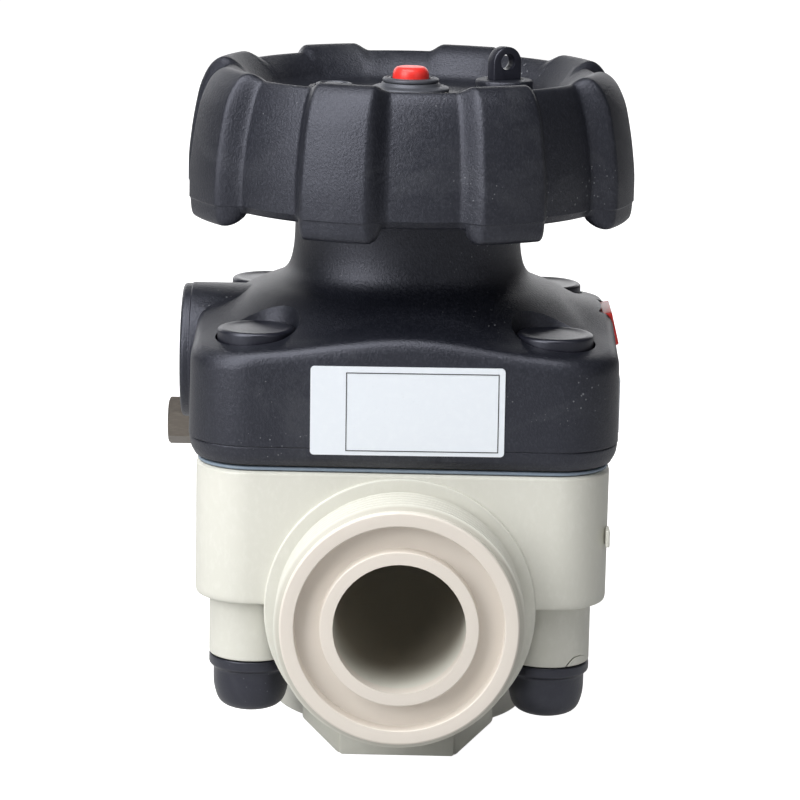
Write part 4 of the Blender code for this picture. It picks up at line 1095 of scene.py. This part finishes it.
def plastic(name, colour, drift, roughness, grain, drag, bump, specks, scuffs, pale=PALE_DUST):
    """Drift is the second colour of the plastic, pale the colour of its dust."""
    material = bpy.data.materials.new(name)
    material.use_nodes = True
    tree = material.node_tree
    shader = tree.nodes["Principled BSDF"]
    coords = add_node(tree, "TexCoord")
    grains = add_node(tree, "Group", node_tree=grain_group)
    grains.inputs["Scale"].default_value = grain
    grains.inputs["Drag"].default_value = drag
    dust = add_node(tree, "Group", node_tree=dust_group)
    dust.inputs["Specks"].default_value = specks
    dust.inputs["Scuffs"].default_value = scuffs
    tone = add_node(tree, "Mix", data_type="RGBA")
    tone.inputs["A"].default_value = (*colour, 1)
    tone.inputs["B"].default_value = (*drift, 1)
    dusty = add_node(tree, "Mix", data_type="RGBA")
    dusty.inputs["B"].default_value = (*pale, 1)
    masks = add_node(tree, "Math", operation="MAXIMUM")
    soft = add_node(tree, "Math", {1: 0.16}, operation="MULTIPLY")
    rough = add_node(tree, "MapRange", {"To Min": roughness - 0.06, "To Max": roughness + 0.1})
    bumps = add_node(tree, "Bump", {"Strength": bump, "Distance": 0.0002})
    mottle = add_node(tree, "Math", operation="MULTIPLY")
    contrast = add_node(tree, "MapRange", {"From Min": 0.47, "From Max": 0.70})
    wire(
        tree,
        (coords, "Object", grains, "Vector"),
        (coords, "Object", dust, "Vector"),
        (grains, "Height", contrast, "Value"),
        (contrast, "Result", mottle, 0),
        (grains, "Patches", mottle, 1),
        (mottle, 0, tone, "Factor"),
        (tone, "Result", dusty, "A"),
        (dust, "Scuffs", soft, 0),
        (dust, "Specks", masks, 0),
        (soft, 0, masks, 1),
        (masks, 0, dusty, "Factor"),
        (dusty, "Result", shader, "Base Color"),
        (grains, "Height", rough, "Value"),
        (rough, "Result", shader, "Roughness"),
        (grains, "Height", bumps, "Height"),
        (bumps, "Normal", shader, "Normal"),
    )
    return material


# The second colour of the wheel and bonnet is ten times paler than the first: pale grain peaks, partly
# painted glints.
JET = (0.0034, 0.0042, 0.0078)
wheel_black = plastic(
    "black wheel plastic", JET, (0.034, 0.036, 0.047), 0.42, 1800, 0.75, 0.75, 0.45, 0.6
)
bonnet_black = plastic(
    "black bonnet plastic", JET, (0.031, 0.033, 0.043), 0.40, 1800, 0.75, 0.65, 0.45, 0.6
)
cap_black = plastic(
    "black cap plastic", (0.009, 0.0095, 0.015), (0.018, 0.019, 0.028), 0.32, 2400, 1.0, 0.2, 0.2, 0.4
)
dark_grey = plastic(
    "dark washer plastic", (0.05, 0.053, 0.062), (0.08, 0.083, 0.092), 0.45, 1100, 1.0, 0.15, 0.3, 0.4
)
for black in (wheel_black, bonnet_black, cap_black, dark_grey):
    gloss = black.node_tree.nodes["Principled BSDF"]
    gloss.inputs["Specular IOR Level"].default_value = 0.72
    gloss.inputs["Specular Tint"].default_value = (0.84, 0.86, 1.0, 1)
red_plastic = plastic(
    "red indicator plastic", (0.80, 0.032, 0.025), (0.86, 0.05, 0.04), 0.34, 900, 1.0, 0.08, 0.1, 0.1
)
shield_white = plastic(
    "shield layer", (0.22, 0.28, 0.35), (0.28, 0.34, 0.41), 0.4, 900, 1.0, 0.05, 0.1, 0.1
)
rubber_black = plastic(
    "diaphragm rubber", (0.02, 0.018, 0.016), (0.03, 0.027, 0.024), 0.7, 1200, 1.0, 0.2, 0.3, 0.3
)
plate_white = plastic(
    "white plate film", (0.74, 0.78, 0.83), (0.78, 0.82, 0.86), 0.3, 500, 1.0, 0.03, 0.05, 0.1
)
plate_ink = plastic(
    "plate frame ink", (0.02, 0.02, 0.022), (0.03, 0.03, 0.033), 0.5, 500, 1.0, 0.03, 0.0, 0.0
)
print("9 plastics,", len(plate_ink.node_tree.nodes), "nodes each")

# %% [markdown]
# Metal parts share one recipe too: the same grain, drawn along the piece by machining, on a
# metallic shader.

# %% Metal finish
def metal(name, colour, drift, roughness):
    material = plastic(name, colour, drift, roughness, 500, 6.0, 0.08, 0.0, 0.2, (0.7, 0.7, 0.7))
    material.node_tree.nodes["Principled BSDF"].inputs["Metallic"].default_value = 1.0
    return material


steel = metal("stainless steel", (0.60, 0.60, 0.60), (0.68, 0.68, 0.68), 0.28)
brass = metal("dull brass", (0.52, 0.44, 0.32), (0.60, 0.52, 0.40), 0.36)
plug_metal = metal("nickelled plug metal", (0.19, 0.17, 0.15), (0.30, 0.27, 0.24), 0.36)
print("metals:", steel.name, brass.name, plug_metal.name)

# %% [markdown]
# Some colours of the body follow from the place on it: how far out along the pipe a point lies, and
# how far from the pipe axis. A node group measures both, and a colour is laid over the finish
# wherever all its masks hold.

# %% Colours that follow the place on the pipe
place_group, place_in, place_out = new_group(
    "place on the pipe", [("Vector", VECTOR, None)], ["Radius", "Along"]
)
apart = add_node(place_group, "SeparateXYZ")
far = add_node(place_group, "Math", operation="ABSOLUTE")
from_axis = add_node(place_group, "VectorMath", {1: (0, 0, AXIS_HEIGHT)}, operation="SUBTRACT")
flat = add_node(place_group, "VectorMath", {1: (1, 0, 1)}, operation="MULTIPLY")
radius = add_node(place_group, "VectorMath", operation="LENGTH")
wire(
    place_group,
    (place_in, "Vector", apart, 0),
    (apart, "Y", far, 0),
    (far, 0, place_out, "Along"),
    (place_in, "Vector", from_axis, 0),
    (from_axis, 0, flat, 0),
    (flat, 0, radius, 0),
    (radius, "Value", place_out, "Radius"),
)


def tinted(material, colour, *masks):
    """Each mask is a measure of the place, the value where it starts and the value where it is full."""
    tree = material.node_tree
    coords = next(node for node in tree.nodes if node.type == "TEX_COORD")
    base = tree.nodes["Principled BSDF"].inputs["Base Color"]
    place = add_node(tree, "Group", node_tree=place_group)
    over = add_node(tree, "Mix", data_type="RGBA")
    over.inputs["B"].default_value = (*colour, 1)
    wire(tree, (coords, "Object", place, "Vector"))
    shares = []
    for measure, low, high in masks:
        fade = add_node(tree, "MapRange", {"From Min": low, "From Max": high})
        wire(tree, (place, measure, fade, "Value"))
        shares.append(fade.outputs["Result"])
    if len(shares) == 2:
        both = add_node(tree, "Math", operation="MULTIPLY")
        for i, share in enumerate(shares):
            tree.links.new(share, both.inputs[i])
        shares = [both.outputs[0]]
    tree.links.new(shares[0], over.inputs["Factor"])
    tree.links.new(base.links[0].from_socket, over.inputs["A"])
    tree.links.new(over.outputs["Result"], base)


print(place_group.name, "has", len(place_group.nodes), "nodes")

# %% [markdown]
# The turned end faces are creamier than the moulded skin. The bore is painted darker and more
# olive, more so further in: painted shade inside the deep bore. The roots of the threads are
# painted darker than their crests: painted shade in the grooves between the ridges.

# %% Finish of the body and its threads
MOULDED, DRIFTED, CHALK = (0.66, 0.655, 0.59), (0.72, 0.715, 0.655), (0.85, 0.85, 0.8)
body_grey = plastic("grey body plastic", MOULDED, DRIFTED, 0.42, 600, 0.6, 0.08, 0.12, 0.3, CHALK)
tinted(body_grey, (0.70, 0.645, 0.58), ("Along", 0.0620, 0.0627), ("Radius", 0.0286, 0.0282))
# Painted shade in the bore: darker and more olive, more so further in.
tinted(body_grey, (0.36, 0.33, 0.275), ("Along", 0.0662, 0.0430), ("Radius", 0.01605, 0.0159))
thread_grey = plastic("grey thread plastic", MOULDED, DRIFTED, 0.45, 600, 0.6, 0.08, 0.12, 0.3, CHALK)
# Painted shade in the thread roots: darker between the ridges than on the crests.
tinted(thread_grey, (0.50, 0.485, 0.425), ("Radius", 0.02975, 0.0291))
print(body_grey.name, "and", thread_grey.name, "tinted")

# %% [markdown]
# Each new piece gets its material. The CAD solids that still show, or only show when the valve is
# taken apart, get the finish that belongs to the name of their slot.

# %% Put the finishes on
def dress(obj, material):
    obj.data.materials.clear()
    obj.data.materials.append(material)


dress(wheel, wheel_black)
dress(bonnet, bonnet_black)
dress(slider, cap_black)
dress(plug, dark_grey)
dress(washer, dark_grey)
dress(clip, dark_grey)
dress(indicator, red_plastic)
dress(marker, red_plastic)
dress(body, body_grey)
for obj in threads:
    dress(obj, thread_grey)
for obj in top_caps + bottom_caps:
    dress(obj, cap_black)
dress(hexagon, plug_metal)
dress(layers[0], shield_white)
dress(layers[1], rubber_black)
dress(front_plate, plate_white)
dress(side_plate, plate_white)
dress(plate_frame, plate_ink)
INNER = {
    "black_plastic": bonnet_black,
    "black_cap": cap_black,
    "dark_plastic": dark_grey,
    "red_plastic": red_plastic,
    "white_fluoropolymer": shield_white,
    "black_rubber": rubber_black,
    "stainless_steel": steel,
    "brass": brass,
    "grey_plastic": body_grey,
}
dressed = 0
for name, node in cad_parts.items():
    for node_slot in node.material_slots:
        label = node_slot.material.name.split(".")[0]
        if label in INNER:
            node_slot.material = INNER[label]
            dressed += 1
print(dressed, "CAD nodes dressed")

# %% [markdown]
# ## Floor, light and camera
# The valve stands on a white floor in soft light. To the camera the floor glows plain white, and
# the valve stands free, without a shadow. For the valve the floor is grey: it throws back half of
# the lamps' light, and in reflections it is dim. The sky is dim too, because a bright one would
# make the black parts grey.

# %% Floor and world
bm = bmesh.new()
bmesh.ops.create_grid(bm, x_segments=1, y_segments=1, size=6.0)
floor_mesh = bpy.data.meshes.new("floor")
bm.to_mesh(floor_mesh)
bm.free()
floor = bpy.data.objects.new("floor", floor_mesh)
bpy.context.scene.collection.objects.link(floor)
floor_white = bpy.data.materials.new("white floor")
floor_white.use_nodes = True
tree = floor_white.node_tree
shader = tree.nodes["Principled BSDF"]
shader.inputs["Base Color"].default_value = (0.5, 0.5, 0.5, 1)
shader.inputs["Roughness"].default_value = 0.9
shader.inputs["Specular IOR Level"].default_value = 0.0
shader.inputs["Emission Color"].default_value = (1, 1, 1, 1)
paths = add_node(tree, "LightPath")
mirrored = add_node(tree, "Math", {1: 0.15}, operation="MULTIPLY")
glow = add_node(tree, "Math", {1: 1.0}, operation="MULTIPLY_ADD")
wire(
    tree,
    (paths, "Is Glossy Ray", mirrored, 0),
    (paths, "Is Camera Ray", glow, 0),
    (mirrored, 0, glow, 2),
    (glow, 0, shader, "Emission Strength"),
)
floor_mesh.materials.append(floor_white)

world = bpy.data.worlds.new("studio")
bpy.context.scene.world = world
world.use_nodes = True
tree = world.node_tree
background = tree.nodes["Background"]
background.inputs["Color"].default_value = (1, 1, 1, 1)
paths = add_node(tree, "LightPath")
seen = add_node(tree, "Math", operation="MAXIMUM")
mirrored = add_node(tree, "Math", {1: 0.04, 2: 0.07}, operation="MULTIPLY_ADD")
level = add_node(tree, "Math", operation="MAXIMUM")
wire(
    tree,
    (paths, "Is Camera Ray", seen, 0),
    (paths, "Is Transmission Ray", seen, 1),
    (paths, "Is Glossy Ray", mirrored, 0),
    (seen, 0, level, 0),
    (mirrored, 0, level, 1),
    (level, 0, background, "Strength"),
)
print("floor", round(floor.dimensions.x), "m wide, sky at", round(mirrored.inputs[2].default_value, 2))

# %% [markdown]
# Most of the light comes from the front left and from above, so the left of each lobe shines and
# the right side falls dark. A weak lamp on the right opens the shadows, and a wide low one behind
# rims the neck and the wheel. Each is a rectangle, as in a photo studio, because small lamps would
# give hard shadows.

# %% Lamps
def lamp(name, place, target, size, power):
    data = bpy.data.lights.new(name, "AREA")
    data.shape = "RECTANGLE"
    data.size, data.size_y = size
    data.energy = power
    obj = bpy.data.objects.new(name, data)
    obj.location = place
    obj.rotation_euler = (Vector(target) - Vector(place)).to_track_quat("-Z", "Y").to_euler()
    obj.visible_camera = False
    bpy.context.scene.collection.objects.link(obj)


middle = (0, 0, 0.09)
lamp("left_box", (-0.68, -0.68, 0.58), middle, (0.7, 0.8), 10.9)
lamp("right_box", (0.60, -0.75, 0.50), middle, (0.5, 0.5), 0.8)
lamp("top_box", (-0.20, -0.25, 0.92), middle, (0.9, 0.5), 8.0)
lamp("back_box", (-0.2, 1.3, 0.42), middle, (2.0, 0.6), 7.0)
print(len(bpy.data.lights), "lamps")

# %% [markdown]
# The camera looks slightly down on the front spigot through a long lens. Its place and turn were
# worked out from the valve's own edges in the picture, with the known thread as the scale.

# %% Camera
yaw, pitch, roll = -0.00122, -0.21055, 0.02074
forward = Vector((math.sin(yaw) * math.cos(pitch), math.cos(yaw) * math.cos(pitch), math.sin(pitch)))
right = Vector((math.cos(yaw), -math.sin(yaw), 0))
up = right.cross(forward)
across = right * math.cos(roll) + up * math.sin(roll)
upright = up * math.cos(roll) - right * math.sin(roll)
place = Vector((0, -0.850, 0.22258 + AXIS_HEIGHT))
lens = bpy.data.cameras.new("camera")
lens.lens = 155.506
lens.sensor_width = 36
lens.clip_end = 30
camera = bpy.data.objects.new("camera", lens)
camera.matrix_world = Matrix((
    (across.x, upright.x, -forward.x, place.x),
    (across.y, upright.y, -forward.y, place.y),
    (across.z, upright.z, -forward.z, place.z),
    (0, 0, 0, 1),
))
bpy.context.scene.collection.objects.link(camera)
bpy.context.scene.camera = camera
bpy.context.scene.view_settings.view_transform = "Standard"
print("camera", round(lens.lens, 1), "mm")
